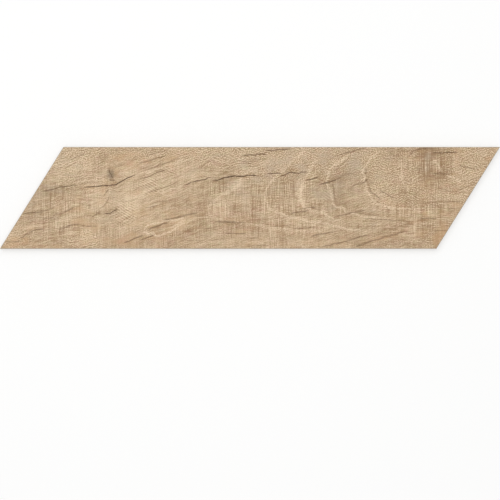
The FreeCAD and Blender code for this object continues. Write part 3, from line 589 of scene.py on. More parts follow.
# Rounds by how far they alone lean to brown, above zero, or to grey
WARMTH_PATCHES = {
    1.6: ((443, 233, 5, 7),),
    1.5: ((443, 213, 8, 5),),
    1.4: ((126, 240, 8, 6), (176, 224, 17, 9, 15)),
    1: ((12, 243, 6, 5), (205, 228, 7, 6), (427, 204, 6, 5)),
    0.9: ((375, 200, 7, 6), (428, 187, 7, 12), (295, 160, 4, 5), (108, 238, 11, 5)),
    0.8: (
        (78, 206, 6, 10), (135, 162, 13, 6, 15), (163, 158, 13, 5, 15), (45, 245, 12, 4), (250, 237, 6, 7),
        (346, 152, 16, 4),
    ),
    0.7: (
        (132, 213, 16, 9, 15), (88, 170, 5, 5), (85, 225, 8, 5), (310, 235, 6, 6), (346, 197, 4, 7),
        (421, 232, 7, 15), (120, 157, 14, 6),
    ),
    0.6: (
        (280, 222, 6, 10), (401, 210, 12, 5), (145, 218, 12, 7), (172, 160, 10, 5), (308, 180, 4, 5),
        (10, 240, 8, 4), (299, 160, 4, 5), (425, 151, 10, 4), (80, 243, 7, 4), (57, 158, 4, 5),
        (117, 150, 5, 3), (52, 184, 7, 3), (112, 174, 5, 5), (85, 245, 5, 4),
    ),
    0.5: (
        (105, 183, 6, 8), (75, 206, 8, 8), (110, 212, 6, 6), (88, 225, 7, 5), (198, 176, 9, 8),
        (237, 236, 6, 10), (143, 184, 5, 6), (170, 150, 8, 4), (172, 162, 9, 5), (115, 210, 5, 3),
        (155, 222, 10, 5), (130, 232, 9, 6), (32, 246, 5, 2), (15, 240, 4, 3), (42, 231, 5, 4),
        (189, 183, 6, 3), (233, 172, 5, 4), (252, 170, 6, 3), (273, 162, 4, 4), (303, 162, 6, 4, 30),
        (309, 177, 4, 4), (308, 208, 10, 3, -5), (303, 226, 9, 4), (313, 234, 4, 3), (237, 238, 4, 4),
        (255, 245, 6, 3), (335, 195, 3, 4), (357, 152, 5, 3), (359, 166, 5, 4), (355, 195, 6, 3),
        (370, 190, 3, 5), (425, 191, 4, 5), (424, 156, 4, 3), (408, 211, 3, 4), (437, 213, 6, 6),
        (478, 165, 6, 6), (375, 240, 6, 2.5), (425, 244, 7, 3), (105, 190, 5, 8), (172, 232, 5, 4),
        (309, 177, 4, 4), (347, 177, 4, 4), (425, 156, 4, 4),
    ),
    0.4: (
        (150, 214, 12, 6), (460, 155, 8, 6), (446, 185, 12, 4), (445, 222, 6, 12), (36, 205, 6, 5),
        (365, 237, 12, 5), (70, 165, 8, 8), (97, 186, 7, 4), (255, 195, 7, 3), (278, 192, 6, 3),
        (197, 242, 5, 3), (397, 208, 6, 3), (425, 224, 6, 8), (455, 202, 5, 4), (135, 165, 7, 5),
        (165, 165, 10, 4, 20), (125, 183, 10, 4), (188, 185, 8, 4), (163, 196, 4, 5), (80, 220, 12, 6),
        (138, 220, 6, 6), (170, 216, 8, 5), (312, 235, 5, 5), (460, 200, 6, 8),
    ),
    0.3: (
        (87, 170, 4, 6), (126, 178, 9, 3), (105, 192, 3, 8), (164, 197, 4, 5), (92, 224, 5, 4),
        (45, 200, 4, 6), (150, 237, 8, 4), (228, 191, 5, 3), (330, 219, 6, 4), (383, 205, 6, 5),
    ),
    -0.2: ((325, 195, 25, 14),),
    -0.3: (
        (85, 158, 5, 5), (112, 202, 3, 5), (127, 195, 3, 4), (55, 177, 6, 5), (412, 202, 7, 7),
        (427, 176, 6, 6), (345, 170, 25, 14), (52, 190, 10, 8),
    ),
    -0.4: (
        (425, 235, 6, 4), (76, 177, 8, 5), (98, 178, 5, 6), (180, 205, 8, 5), (115, 195, 8, 5),
        (146, 213, 4, 2.5), (80, 179, 6, 3), (158, 230, 5, 3), (300, 184, 3, 5), (187, 206, 7, 5),
        (325, 189, 6, 4), (213, 162, 9, 6), (285, 160, 12, 7), (237, 184, 10, 6), (310, 157, 6, 6),
    ),
    -0.5: (
        (445, 195, 6, 5), (286, 165, 7, 6), (256, 180, 8, 6), (244, 203, 6, 6), (65, 166, 13, 10),
        (118, 170, 8, 8), (210, 158, 6, 5), (414, 190, 4, 10), (68, 235, 7, 4), (103, 171, 5, 10),
        (70, 188, 4, 3), (215, 160, 5, 5), (228, 160, 3, 5), (228, 182, 5, 3), (290, 176, 3, 5),
        (310, 150, 6, 3), (303, 172, 5, 4), (325, 163, 3, 6), (276, 199, 4, 3), (280, 212, 5, 4),
        (200, 214, 3, 3), (245, 228, 9, 3, 10), (322, 241, 5, 2.5), (337, 176, 4, 4), (355, 160, 6, 3),
        (352, 170, 5, 5), (342, 190, 5, 4), (340, 202, 4, 4), (384, 154, 4, 4), (431, 233, 3, 5),
        (442, 219, 4, 3), (10, 245, 8, 4),
    ),
    -0.6: (
        (298, 185, 5, 5), (196, 219, 7, 8), (216, 208, 5, 5), (36, 199, 4, 4), (160, 160, 9, 3, 15),
        (114, 218, 4, 3), (440, 173, 5, 5),
    ),
    -0.7: (
        (184, 198, 5, 5), (258, 177, 8, 7), (190, 173, 8, 7), (270, 170, 8, 6), (388, 158, 6, 7),
        (300, 152, 12, 4), (361, 152, 6, 6), (160, 228, 6, 5), (55, 192, 8, 3), (242, 156, 4, 5),
        (258, 161, 5, 4), (271, 184, 6, 4), (387, 228, 4, 4),
    ),
    -0.8: (
        (49, 231, 8, 6), (110, 219, 5, 4), (243, 160, 8, 7), (242, 189, 6, 7), (482, 163, 8, 5),
        (42, 188, 8, 13), (228, 186, 18, 5), (190, 230, 5, 3), (430, 156, 10, 8),
    ),
    -0.9: (
        (151, 185, 9, 5, 20), (318, 195, 9, 9), (440, 197, 7, 5), (118, 212, 13, 8), (305, 165, 5, 10),
        (361, 193, 5, 16), (443, 160, 5, 5), (422, 149, 9, 2),
    ),
    -1: ((112, 195, 5, 7), (374, 228, 6, 6), (118, 246, 6, 3), (390, 246, 8, 3)),
    -1.1: ((346, 186, 12, 5, 10), (333, 201, 8, 11)),
    -1.2: ((290, 187, 10, 5), (409, 236, 6, 5)),
    -1.3: ((300, 166, 6, 5),),
    -1.4: ((325, 157, 8, 10),),
}

# Rounds by how far they lean to green, above zero, or to pink
MOSS_PATCHES = {
    2: ((245, 247, 6, 2),),
    1.6: ((214, 189, 12, 9),),
    1.5: ((211, 227, 6, 4), (412, 194, 6, 5), (443, 155, 9, 3, 20), (360, 244, 6, 5)),
    1.4: ((432, 215, 5, 4), (195, 224, 8, 6)),
    1.3: ((165, 182, 8, 6), (215, 149, 14, 4), (313, 177, 5, 6)),
    1.2: ((86, 150, 8, 4), (346, 194, 7, 4)),
    1: (
        (60, 183, 16, 9), (46, 211, 9, 4), (213, 246, 12, 3), (253, 149, 8, 4), (370, 160, 8, 8),
        (366, 223, 7, 7), (70, 153, 4, 5), (120, 151, 6, 3), (105, 176, 4, 4), (68, 190, 9, 4, 15),
        (78, 207, 4, 5), (135, 210, 3, 7), (167, 190, 8, 5), (84, 232, 4, 4), (33, 242, 7, 2.5),
        (155, 225, 8, 4), (210, 157, 7, 3), (195, 180, 4, 3), (247, 155, 6, 5), (180, 217, 4, 5),
        (312, 196, 7, 3), (328, 178, 4, 4), (338, 212, 5, 5), (345, 161, 5, 3), (384, 164, 6, 4),
        (355, 184, 4, 2), (413, 172, 4, 4), (446, 184, 4, 4), (342, 201, 4, 3), (397, 204, 3, 3),
        (432, 202, 6, 2.5), (440, 213, 9, 3, 20), (473, 150, 4, 5), (467, 168, 5, 2),
    ),
    0.9: ((262, 190, 16, 8), (227, 169, 5, 6), (230, 193, 7, 5)),
    0.8: (
        (66, 166, 8, 6), (95, 213, 10, 5), (165, 158, 8, 5), (322, 193, 12, 5), (360, 205, 8, 10),
        (380, 183, 7, 10), (468, 166, 6, 8), (335, 163, 4, 3), (355, 168, 8, 5), (43, 195, 6, 6),
    ),
    0.7: (
        (86, 163, 4, 3), (95, 155, 5, 3), (140, 154, 6, 3), (47, 195, 5, 4), (164, 211, 5, 4),
        (28, 230, 5, 4), (137, 238, 4, 4), (373, 200, 5, 3), (278, 185, 5, 8), (270, 170, 4, 8),
        (335, 188, 8, 6),
    ),
    0.6: (
        (90, 173, 4, 6), (76, 174, 4, 4), (113, 218, 3, 6), (210, 173, 5, 4), (280, 184, 4, 3),
        (425, 228, 5, 5), (360, 225, 4, 6), (243, 212, 6, 6), (388, 185, 8, 6), (397, 220, 8, 5),
    ),
    0.5: ((215, 180, 10, 6),),
    -0.6: ((257, 216, 6, 4), (250, 232, 8, 4), (405, 178, 8, 6), (380, 200, 6, 5), (458, 158, 4, 8)),
    -0.7: ((250, 224, 12, 10), (172, 194, 5, 6), (200, 208, 8, 6), (146, 234, 6, 4)),
    -0.8: (
        (255, 207, 10, 6), (65, 206, 7, 8), (147, 190, 3, 8), (75, 235, 3, 9), (158, 238, 9, 4),
        (128, 162, 5, 6), (165, 178, 6, 6), (476, 176, 6, 6),
    ),
    -0.9: ((175, 192, 6, 6), (437, 158, 12, 7), (243, 188, 2, 8)),
    -1: (
        (86, 196, 6, 8), (123, 238, 6, 8), (336, 174, 4, 6), (397, 181, 6, 6), (405, 228, 14, 8),
        (394, 241, 12, 5), (411, 151, 5, 4), (446, 188, 8, 7), (83, 150, 5, 3), (54, 175, 5, 5),
        (46, 186, 3, 4), (62, 184, 4, 3), (95, 184, 6, 4), (55, 203, 5, 3), (102, 202, 4, 3), (40, 230, 5, 6),
        (121, 218, 3, 6), (172, 149, 6, 2), (209, 148, 6, 2), (200, 158, 2, 5), (214, 165, 4, 3),
        (279, 170, 3, 6), (290, 187, 3, 4), (305, 203, 4, 3), (335, 197, 3, 6), (195, 213, 4, 3),
        (203, 245, 5, 3), (262, 246, 5, 2), (353, 153, 4, 3), (366, 150, 4, 3), (396, 170, 3, 5),
        (408, 181, 4, 3), (425, 167, 3, 3), (428, 194, 6, 3), (415, 209, 3, 4), (457, 167, 3, 6),
        (457, 188, 3, 5), (436, 236, 6, 3), (372, 242, 4, 5),
    ),
    -1.2: (
        (90, 174, 9, 6), (22, 244, 16, 4), (143, 167, 6, 6), (162, 241, 12, 5), (214, 162, 7, 4),
        (223, 232, 7, 6), (278, 214, 5, 8),
    ),
    -1.3: ((187, 231, 7, 5), (267, 172, 5, 6), (128, 239, 4, 3)),
    -1.4: (
        (38, 222, 8, 5), (228, 213, 20, 6), (434, 203, 6, 5), (289, 229, 5, 3), (308, 232, 9, 4),
        (359, 192, 5, 3), (386, 203, 6, 3, 25), (443, 149, 6, 2),
    ),
    -1.5: ((172, 171, 4, 4), (78, 247, 5, 3), (38, 247, 9, 2), (212, 185, 4, 5), (229, 185, 4, 3)),
}

# Rounds by how strong the marks of the saw and the other textures are there, or how calm the print is
SAW_ZONES = {
    1: ((285, 200, 55, 55), (420, 195, 42, 55)),
    0.75: ((60, 212, 45, 32),),
    0.6: ((415, 160, 28, 12),),
    0.5: ((155, 240, 34, 9), (215, 190, 16, 16)),
    0.4: ((100, 235, 40, 20), (180, 225, 30, 25), (218, 225, 22, 22)),
}
CLOTH_ZONES = {
    1: ((420, 200, 30, 50), (245, 165, 30, 20)),
    0.8: ((75, 237, 7, 8),),
    0.5: ((380, 228, 30, 16), (260, 215, 30, 20)),
    0.4: ((60, 230, 40, 15), (310, 190, 30, 20)),
}
CALM_ZONES = {
    0.6: ((130, 234, 42, 12), (235, 232, 42, 14)),
    0.4: ((240, 205, 26, 14), (345, 203, 14, 10)),
    0.3: ((80, 225, 20, 12), (165, 203, 30, 10), (120, 203, 14, 10)),
}
STREAK_ZONES = {
    1: ((150, 185, 38, 30),),
    0.9: ((180, 225, 45, 22),),
    0.8: ((185, 160, 30, 18), (375, 238, 34, 12)),
    0.7: ((345, 165, 30, 14), (60, 215, 40, 22)),
}
FLECK_ZONES = {
    1: ((152, 185, 11, 9, 20), (126, 212, 11, 11, 20)),
    0.9: ((328, 195, 7, 7), (410, 192, 12, 11)),
    0.8: ((171, 169, 8, 6, 20),),
    0.6: ((475, 165, 16, 12), (355, 163, 10, 9)),
}
DASH_ZONES = {
    1: ((70, 163, 22, 14), (127, 214, 10, 9, 20)),
    0.7: ((385, 190, 14, 14),),
    0.6: ((468, 172, 16, 14), (315, 190, 9, 14)),
    0.5: ((420, 188, 26, 10),),
}
SPECKLE_ZONES = {
    1.25: ((470, 172, 28, 26),),
    1.1: ((230, 151, 190, 11), (18, 238, 14, 10)),
    1: ((260, 160, 50, 14), (320, 165, 24, 14), (355, 165, 22, 15), (410, 180, 20, 20)),
    0.95: ((385, 170, 24, 22),),
    0.8: ((470, 158, 30, 14), (275, 176, 30, 9)),
    0.7: ((430, 238, 12, 10), (65, 155, 16, 10)),
    0.6: ((80, 240, 24, 10), (60, 203, 10, 6), (425, 195, 40, 12)),
    0.5: ((75, 170, 28, 22), (250, 150, 60, 6), (86, 238, 8, 9)),
    0.4: ((100, 186, 30, 8), (150, 232, 12, 6)),
    0.3: ((370, 205, 50, 12), (330, 188, 12, 10)),
    -0.2: ((60, 222, 16, 10),),
    -0.3: ((440, 190, 16, 7),),
    -0.9: ((431, 166, 13, 16),),
}

# Knots: a small upright eye of dark wood with a split across its middle, and a smaller one near the edge
KNOT_MIDDLE = (110.8, 174.3)
KNOT_RADII = (4.6, 7.4)
SMALL_KNOT_MIDDLE = (116.6, 150.0)
SMALL_KNOT_RADII = (1.6, 2.2)

# Slope of the fibres, in degrees up to the right, at places along the tile in pixels
FIBRE_PLACES = (0, 90, 120, 190, 215, 300, 330, 420, 440, 500)
FIBRE_SLOPES = (13, 9, 20, 20, 9, 4, 17, 17, 3, 0)
FIBRE_SAMPLES = 200

# Pieces that the face is cut into along and across, and then each of those pieces
FACE_COLUMNS = (4, 100)
FACE_ROWS = (2, 100)

# Strokes: their offset where none is near, how far they reach, their tapered ends, and the steps of a curve
NO_STROKE = 9.0
STROKE_REACH = 2.5  # in half widths
ARCH_REACH = 16 * MM
TAPER = 0.12  # share of the stroke at each end
TIP_WIDTH = 0.45  # share of the width that is left at the tip
CURVE_STEPS = 5

# Wander of the fibres, lumps of the marks of the saw, and what sets the range of the tone
WANDER = 0.9 * MM
WANDER_LUMPS = (30 * MM, 9 * MM)
WANDER_SEED = 11
SAW_LUMPS = (2 * MM, 26 * MM)
SAW_SEED = 5
TONE_GAIN = 1.25
TONE_SHIFT = -0.065
MID_TONE = 0.5
CALMEST = 0.7  # share of the fibres that is lost where the print is calmest

# Zones of the textures: their rounds, and the least and most that these add up to
ZONES = {
    "saw_zone": (SAW_ZONES, 0.3, 1.2),
    "streak_zone": (STREAK_ZONES, 0.25, 1),
    "cloth_zone": (CLOTH_ZONES, 0.2, 1),
    "fleck_zone": (FLECK_ZONES, 0, 1),
    "dash_zone": (DASH_ZONES, 0, 1),
    "speckle_zone": (SPECKLE_ZONES, 0.25, 2.2),
}

# Textures along the fibres, then square to the tile: length and width in millimetres, layer and detail
GRAIN = {
    "bands": (70, 5, 1, 1),
    "fibres": (22, 1.5, 2, 2),
    "hairs": (8, 0.8, 3, 1),
    "pores": (3.4, 0.5, 9, 0),
    "wobble": (5, 2.5, 12, 1),
    "ragged": (4, 1.2, 13, 2),
    "streaks": (45, 3.2, 18, 1),
}
UPRIGHT = {
    "mottle": (7, 5, 4, 2),
    "speckle": (1, 0.7, 5, 1),
    "teeth": (0.9, 22, 6, 1),
    "cloth": (20, 0.85, 7, 1),
    "wear": (3, 2.2, 14, 2),
    "knot_rim": (3, 3, 15, 2),
    "clouds": (18, 9, 16, 2),
    "lumps": (3.5, 3.5, 17, 2),
    "moss": (9, 5, 19, 2),
    "fine_moss": (3.4, 2.2, 25, 1),
}
PORE_FADE = (0.9, 2)
NOISE_ROUGHNESS = 0.5
NOISE_MEAN = 0.5
NOISE_GAIN = 10

# Even fine lines: weights of X and Y, pitch, size and depth of their bends, layers of bends and patches
RIPPLES = {
    "comb": (1, 0, 3, 16, 1.2, 21, 21.5),
    "ladder": (0, 1, 2.5, 16, 1.2, 22, 22.5),
    "falling": (0.3, 1, 2.5, 9, 1.3, 23, 23.5),
    "rising": (-0.4, 1, 2.7, 9, 1.3, 24, 24.5),
    "slant": (0.53, 0.85, 2.6, 16, 0.8, 8, None),
    "dashes": (-0.45, 0.9, 2.9, 8, 1.6, 20, 20.5),
}
RIPPLE_DETAIL = 1
PATCH_SIZE = 9
PATCH_FADE = (-1.6, 1.4)

# What makes up the tone, the tints and the bump: a texture, its share, and its zone where it has one
TONE_SHARES = (
    ("bands", 0.04, None), ("fibres", 0.04, "lively"), ("hairs", 0.12, "lively"), ("mottle", 0.04, "lively"),
    ("streaks", 0.08, "streak_zone"), ("speckle", 0.7, "speckle_zone"), ("falling", 0.42, "speckle_zone"),
    ("rising", 0.42, "speckle_zone"), ("saw", 0.08, None), ("teeth", 0.2, "saw_zone"),
    ("comb", 0.13, "saw_zone"), ("cloth", 0.24, "cloth_zone"), ("ladder", 0.2, "cloth_zone"),
    ("slant", 0.34, "fleck_zone"), ("dashes", 0.42, "dash_zone"), ("pores", -0.07, None),
)
WARMTH_SHARES = (("clouds", 0.45, None), ("fibres", 0.08, None))
MOSS_SHARES = (("moss", 0.7, None), ("streaks", 0.2, None), ("fine_moss", 0.55, None))
BUMP_SHARES = (
    ("hairs", 0.06, None), ("fibres", 0.06, None), ("teeth", 0.06, "saw_zone"), ("cloth", 0.03, None),
    ("speckle", 0.03, None), ("pores", -0.2, None),
)
BUMP_DEPTH = 0.05 * MM
WARMTH_FADE = (0, 2)
WARMTH_OPACITY = 0.55
MOSS_FADE = (0.1, 2.4)
MOSS_OPACITY = 0.45
GLAZE_IN_PALE = 0.12
ROUGH_SPLIT = 0.15

# Splits and seams. A fade goes from where nothing shows to where all does, and 1 is the edge of the stroke.
SPLIT_WOBBLE = 0.15
SEAM_FADE = (1.25, 0.3)
SEAM_BREAKS = (-2.6, -0.4)
SEAM_OPACITY = 0.58
SPLIT_FADE = (1, 0.2)
SPLIT_BREAKS = (-2.2, -0.2)
SPLIT_CONTRAST = 3
SPLIT_OPACITY = 0.82

# Growth lines and arches: their ragged rims, how flecks break them, and the rings inside an arch
FLECK_SPECKLE = 1.3
FLECK_FADE = (-1.3, 1.5)
GROWTH_LUMPS = 0.3
GROWTH_RAGGED = 0.15
GROWTH_FADE = (1.35, 0.15)
GROWTH_UNBROKEN = 0.25
GROWTH_OPACITY = 0.88
ARCH_LUMPS = 0.6
ARCH_RAGGED = 0.22
ARCH_SPECKLE = 0.2
ARCH_OUTSIDE = (-0.85, -0.2)
ARCH_INSIDE = (0.35, 0)
ARCH_UNBROKEN = 0.2
ARCH_GAIN = 1.6
UNDER_FADE = (0.1, 0.6)
UNDER_DECAY = 0.45
UNDER_TONE = 0.36
INNER_TURN = 6
INNER_DECAY = 0.35
INNER_TONE = 0.14
HALO_DECAY = 0.5
HALO_TONE = 0.1

# Marks of the saw and knots
MARK_FADE = (1.2, 0.2)
MARK_WEAR = (-1.6, 1.6)
MARK_UNBROKEN = 0.5
MARK_TONE = 0.62
KNOT_RAGGED = 0.1
KNOT_FADE = (1.2, 0.1)
KNOT_OPACITY = 0.55
SMALL_KNOT_FADE = (1.6, 0.2)
SMALL_KNOT_SHARE = 0.45

# Fired body: width and height of the lumps in millimetres, layer and detail, and how much of each shows
BODY_LUMPS = {
    "clouds": (24, 6, 1, 3),
    "grit": (0.5, 0.5, 2, 2),
    "pepper": (0.9, 0.9, 3, 1),
    "wheel": (40, 0.32, 4, 2),
    "dust": (7, 4, 5, 4),
}
BODY_SHARES = (("clouds", 0.07, None), ("grit", 0.06, None), ("wheel", 0.06, None))
BODY_BUMP_SHARES = (("grit", 0.15, None), ("wheel", 0.2, None), ("pepper", -0.4, None))
BODY_CONTRAST = 0.25
BACK_HEIGHTS = (0.9 * MM, 0.2 * MM)  # from the bevel down to the back
RIB_HEIGHTS = (0.3 * MM, 0.05 * MM)  # from a pocket's wall down to the ribs
PEPPER_FADE = (1.8, 2.6)
PEPPER_OPACITY = 0.45
CLOUDY_DUST = 0.5
DUST_FADE = (-1.5, 2)
POCKET_WASH = 0.2
RIB_WASH = 0.6
GRIT_ROUGHNESS = 0.015

# Mesh and relief
TOUCH = 0.001 * MM  # points this near are one
ABOVE_BACK_BEVEL = 0.09  # share of the thickness, just under the top of the back's bevel
ABOVE_BACK = 0.12  # share of the thickness, just over the top of the back's bevel
FLAT_ANGLE = math.radians(1)
SMOOTH_ANGLE = math.radians(38)
FACING = 0.99  # Z of a normal on the face, at least
FACING_DOWN = -0.1  # Z of a normal on the back, at most
FACE_SKIN = 0.01 * MM
LEAST_WEIGHT = 0.004
LEVEL_RIM = (0.5 * MM, 3 * MM)  # from the tile's edge to where the relief starts and where it is full
SUNK_SPLIT = (1.5, 0.2)
SUNK_GROWTH = (1.6, 0.2)
SAW_MIDDLE = 0.5

# Studio
FLOOR_SIZE = 30
FLOOR_ROUGHNESS = 0.9
WHITE = (1, 1, 1, 1)
LAMP_SIZE = 2.2
LAMP_PLACE = (-0.2, 0.28, 2.2)

# Layout for the bake, in shares of its square
ROW_GAP = 3 / 1024
FACE_HEIGHT = 396 / 1024
BACK_ROW = 2 * (FACE_HEIGHT + ROW_GAP)
BACK_HEIGHT = 140 / 1024
EDGE_ROWS = BACK_ROW + BACK_HEIGHT + ROW_GAP
EDGE_HEIGHT = 17 / 1024


def linear(red, green, blue):
    """A colour given in the 0 to 255 steps of a screen, as the linear values that a shader takes."""
    def one(step):
        share = step / 255
        return share / 12.92 if share <= 0.04045 else ((share + 0.055) / 1.055) ** 2.4

    return one(red), one(green), one(blue)


class PrintSettings(bpy.types.PropertyGroup):
    """Colours and relief of the printed face."""

    pale: bpy.props.FloatVectorProperty(
        name="Pale tone", description="Palest plain wood", subtype="COLOR", default=linear(226, 201, 167))
    dark: bpy.props.FloatVectorProperty(
        name="Dark tone", description="Darkest plain wood", subtype="COLOR", default=linear(149, 118, 83))
    cream: bpy.props.FloatVectorProperty(
        name="Growth lines", description="Edges of the growth rings", subtype="COLOR",
        default=linear(236, 211, 179))
    split: bpy.props.FloatVectorProperty(
        name="Splits", description="Inside the drying splits", subtype="COLOR", default=linear(64, 44, 25))
    seam: bpy.props.FloatVectorProperty(
        name="Seams", description="Beside the splits, and in faint ones", subtype="COLOR",
        default=linear(123, 92, 58))
    knot: bpy.props.FloatVectorProperty(
        name="Knot", description="Dark wood of the knot", subtype="COLOR", default=linear(112, 100, 82))
    warm: bpy.props.FloatVectorProperty(
        name="Warm tint", description="Tint of the warm patches", subtype="COLOR",
        default=linear(198, 162, 121))
    cool: bpy.props.FloatVectorProperty(
        name="Cool tint", description="Tint of the grey patches", subtype="COLOR",
        default=linear(184, 165, 141))
    moss: bpy.props.FloatVectorProperty(
        name="Moss tint", description="Tint of the greenish patches", subtype="COLOR",
        default=(0.44, 0.55, 0.46))
    rose: bpy.props.FloatVectorProperty(
        name="Rose tint", description="Tint of the pinkish patches", subtype="COLOR",
        default=(0.56, 0.45, 0.53))
    roughness: bpy.props.FloatProperty(
        name="Roughness", description="Of the matt glaze", min=0, max=1, default=0.62)
    split_depth: bpy.props.FloatProperty(
        name="Split depth", description="How far the splits are sunk", unit="LENGTH", default=0.25 * MM)
    growth_depth: bpy.props.FloatProperty(
        name="Growth depth", description="How far the growth lines are sunk", unit="LENGTH",
        default=0.05 * MM)
    saw_depth: bpy.props.FloatProperty(
        name="Saw depth", description="How deep the marks of the saw are", unit="LENGTH", default=0.07 * MM)


class BodySettings(bpy.types.PropertyGroup):
    """Colours of the bare fired body."""

    body: bpy.props.FloatVectorProperty(
        name="Body", description="Ground edges of the tile", subtype="COLOR", default=linear(178, 162, 142))
    pepper: bpy.props.FloatVectorProperty(
        name="Pepper", description="Dark specks in the body", subtype="COLOR", default=linear(140, 122, 102))
    wash: bpy.props.FloatVectorProperty(
        name="Kiln wash", description="Dusty wash left on the ribs", subtype="COLOR",
        default=linear(226, 220, 208))
    roughness: bpy.props.FloatProperty(
        name="Roughness", description="Of the bare body", min=0, max=1, default=0.8)


class StudioSettings(bpy.types.PropertyGroup):
    """Camera, light and floor."""

    lens: bpy.props.FloatProperty(name="Lens", description="Focal length", unit="CAMERA", default=120)
    sky: bpy.props.FloatProperty(name="Sky", description="Strength of the light all round", default=0.5)
    lamp: bpy.props.FloatProperty(
        name="Lamp", description="Power of the soft lamp", unit="POWER", default=33.5)
    floor: bpy.props.FloatVectorProperty(
        name="Floor", description="Colour of the floor", subtype="COLOR", default=linear(253, 253, 252))
    floor_glow: bpy.props.FloatProperty(
        name="Floor glow", description="How far the camera sees the floor as white", min=0, max=1,
        default=0.5)


def on_face(pixels):
    """Places on the face, in metres from the tile's middle, of pixels of the photograph."""
    return (np.array(pixels, float) - TILE_MIDDLE) * (PIXEL, -PIXEL)


def smooth_step(low, high, value):
    """0 below low, 1 above high, and a smooth climb between. Low may be above high."""
    share = np.clip((value - low) / (high - low), 0, 1)
    return share * share * (3 - 2 * share)


def between(least, share):
    """From this least value up to 1, as the share goes from 0 to 1."""
    return least + share * (1 - least)


def curve_through(points):
    """A smooth line through given points, as many short straight ones."""
    if len(points) < 3:
        return points
    ends = np.vstack([2 * points[0] - points[1], points, 2 * points[-1] - points[-2]])
    t = np.linspace(0, 1, CURVE_STEPS, endpoint=False)[:, None]
    spans = [
        (2 * b + (c - a) * t + (2 * a - 5 * b + 4 * c - d) * t**2 + (3 * b - a - 3 * c + d) * t**3) / 2
        for a, b, c, d in zip(ends, ends[1:], ends[2:], ends[3:])
    ]
    return np.vstack(spans + [points[-1:]])


def beside(places, line):
    """How far places lie from a line, above zero on its left, and how far along it they are, from 0 to 1."""
    step = np.diff(line, axis=0)
    length = np.hypot(step[:, 0], step[:, 1])
    start = np.concatenate([[0], np.cumsum(length)])
    offset = places[:, None] - line[:-1]
    share = np.clip((offset * step).sum(-1) / length**2, 0, 1)
    gap = offset - share[..., None] * step
    distance = np.hypot(gap[..., 0], gap[..., 1])
    rows = np.arange(len(places))
    nearest = distance.argmin(1)
    left = step[nearest, 0] * offset[rows, nearest, 1] - step[nearest, 1] * offset[rows, nearest, 0]
    along = (start[nearest] + share[rows, nearest] * length[nearest]) / start[-1]
    return np.where(left < 0, -1, 1) * distance[rows, nearest], along


def drawn(places, strokes):
    """Offset and strength of the nearest stroke at each place. The offset is 1 at the edge of the stroke."""
    offset = np.full(len(places), NO_STROKE)
    strength = np.zeros(len(places))
    for stroke in strokes.values():
        line = curve_through(on_face(stroke.pixels))
        half = stroke.width * MM / 2
        reach = half * STROKE_REACH
        near = np.flatnonzero(((places > line.min(0) - reach) & (places < line.max(0) + reach)).all(1))
        gap, along = beside(places[near], line)
        taper = between(TIP_WIDTH, smooth_step(0, TAPER, np.minimum(along, 1 - along)))
        share = gap / (half * taper)
        closer = (abs(share) < abs(offset[near])) & (abs(gap) < reach)
        offset[near[closer]] = share[closer]
        strength[near[closer]] = (stroke.strength * taper)[closer]
    return offset, strength


def round_gap(places, middle, radii, tilt):
    """How far places lie from the middle of a tilted ellipse: 1 on its rim."""
    turn = math.radians(tilt)
    offset = places - on_face([middle])[0]
    along = offset @ (math.cos(turn), math.sin(turn))
    across = offset @ (-math.sin(turn), math.cos(turn))
    return np.hypot(along / (radii[0] * PIXEL), across / (radii[1] * PIXEL))


def soft_round(places, x, y, wide, high, tilt=0):
    """1 in the middle of an ellipse in pixels, tilted by degrees up to the right, and fading to 0 outside."""
    return np.exp(-(round_gap(places, (x, y), (wide, high), tilt) ** 2))


def patched(places, rounds_by_value):
    """Sum of soft rounds, each times its value."""
    total = np.zeros(len(places))
    for value, rounds in rounds_by_value.items():
        for sizes in rounds:
            total += value * soft_round(places, *sizes)
    return total


def toned(places):
    """Tone and warmth of the print, from the rounds that change both and those that change one."""
    tone = patched(places, TONE_PATCHES)
    warmth = patched(places, WARMTH_PATCHES)
    for sizes, lighter, warmer in SHARED_PATCHES:
        share = soft_round(places, *sizes)
        tone += lighter * share
        warmth += warmer * share
    return tone * TONE_GAIN, warmth


def uneven(places, size, seed):
    """Smooth noise from -1 to 1 whose lumps have this size along X and Y."""
    cells = places / size
    corner = np.floor(cells).astype(int)
    low = corner.min(0)
    lattice = np.random.default_rng(seed).uniform(-1, 1, corner.max(0) - low + 2)
    column, row = (corner - low).T
    across, up = smooth_step(0, 1, cells - corner).T
    lower = lattice[column, row] * (1 - across) + lattice[column + 1, row] * across
    upper = lattice[column, row + 1] * (1 - across) + lattice[column + 1, row + 1] * across
    return lower * (1 - up) + upper * up


def fibre_rise(x):
    """How far a fibre has climbed along Y when it reaches this X."""
    samples = np.linspace(FIBRE_PLACES[0], FIBRE_PLACES[-1], FIBRE_SAMPLES)
    slope = np.tan(np.radians(np.interp(samples, FIBRE_PLACES, FIBRE_SLOPES)))
    climbed = np.concatenate([[0], np.cumsum((slope[1:] + slope[:-1]) / 2 * np.diff(samples))])
    return np.interp(x, (samples - TILE_MIDDLE[0]) * PIXEL, climbed * PIXEL)


def beside_arches(places):
    """How far inside the nearest arch each place lies, in widths of it, and the arch's strength there."""
    inside = np.full(len(places), ARCH_REACH)
    width = np.full(len(places), MM)
    strength = np.zeros(len(places))
    for stroke in ARCHES.values():
        line = curve_through(on_face(stroke.pixels))
        box = (places > line.min(0) - ARCH_REACH) & (places < line.max(0) + ARCH_REACH)
        near = np.flatnonzero(box.all(1))
        gap, along = beside(places[near], line)
        ends = smooth_step(0, TAPER, np.minimum(along, 1 - along))
        fade = smooth_step(ARCH_REACH, ARCH_REACH / 2, abs(gap))
        closer = abs(gap) < abs(inside[near])
        inside[near[closer]] = gap[closer]
        width[near[closer]] = stroke.width * MM
        strength[near[closer]] = (stroke.strength * ends * fade)[closer]
    return inside / width, strength


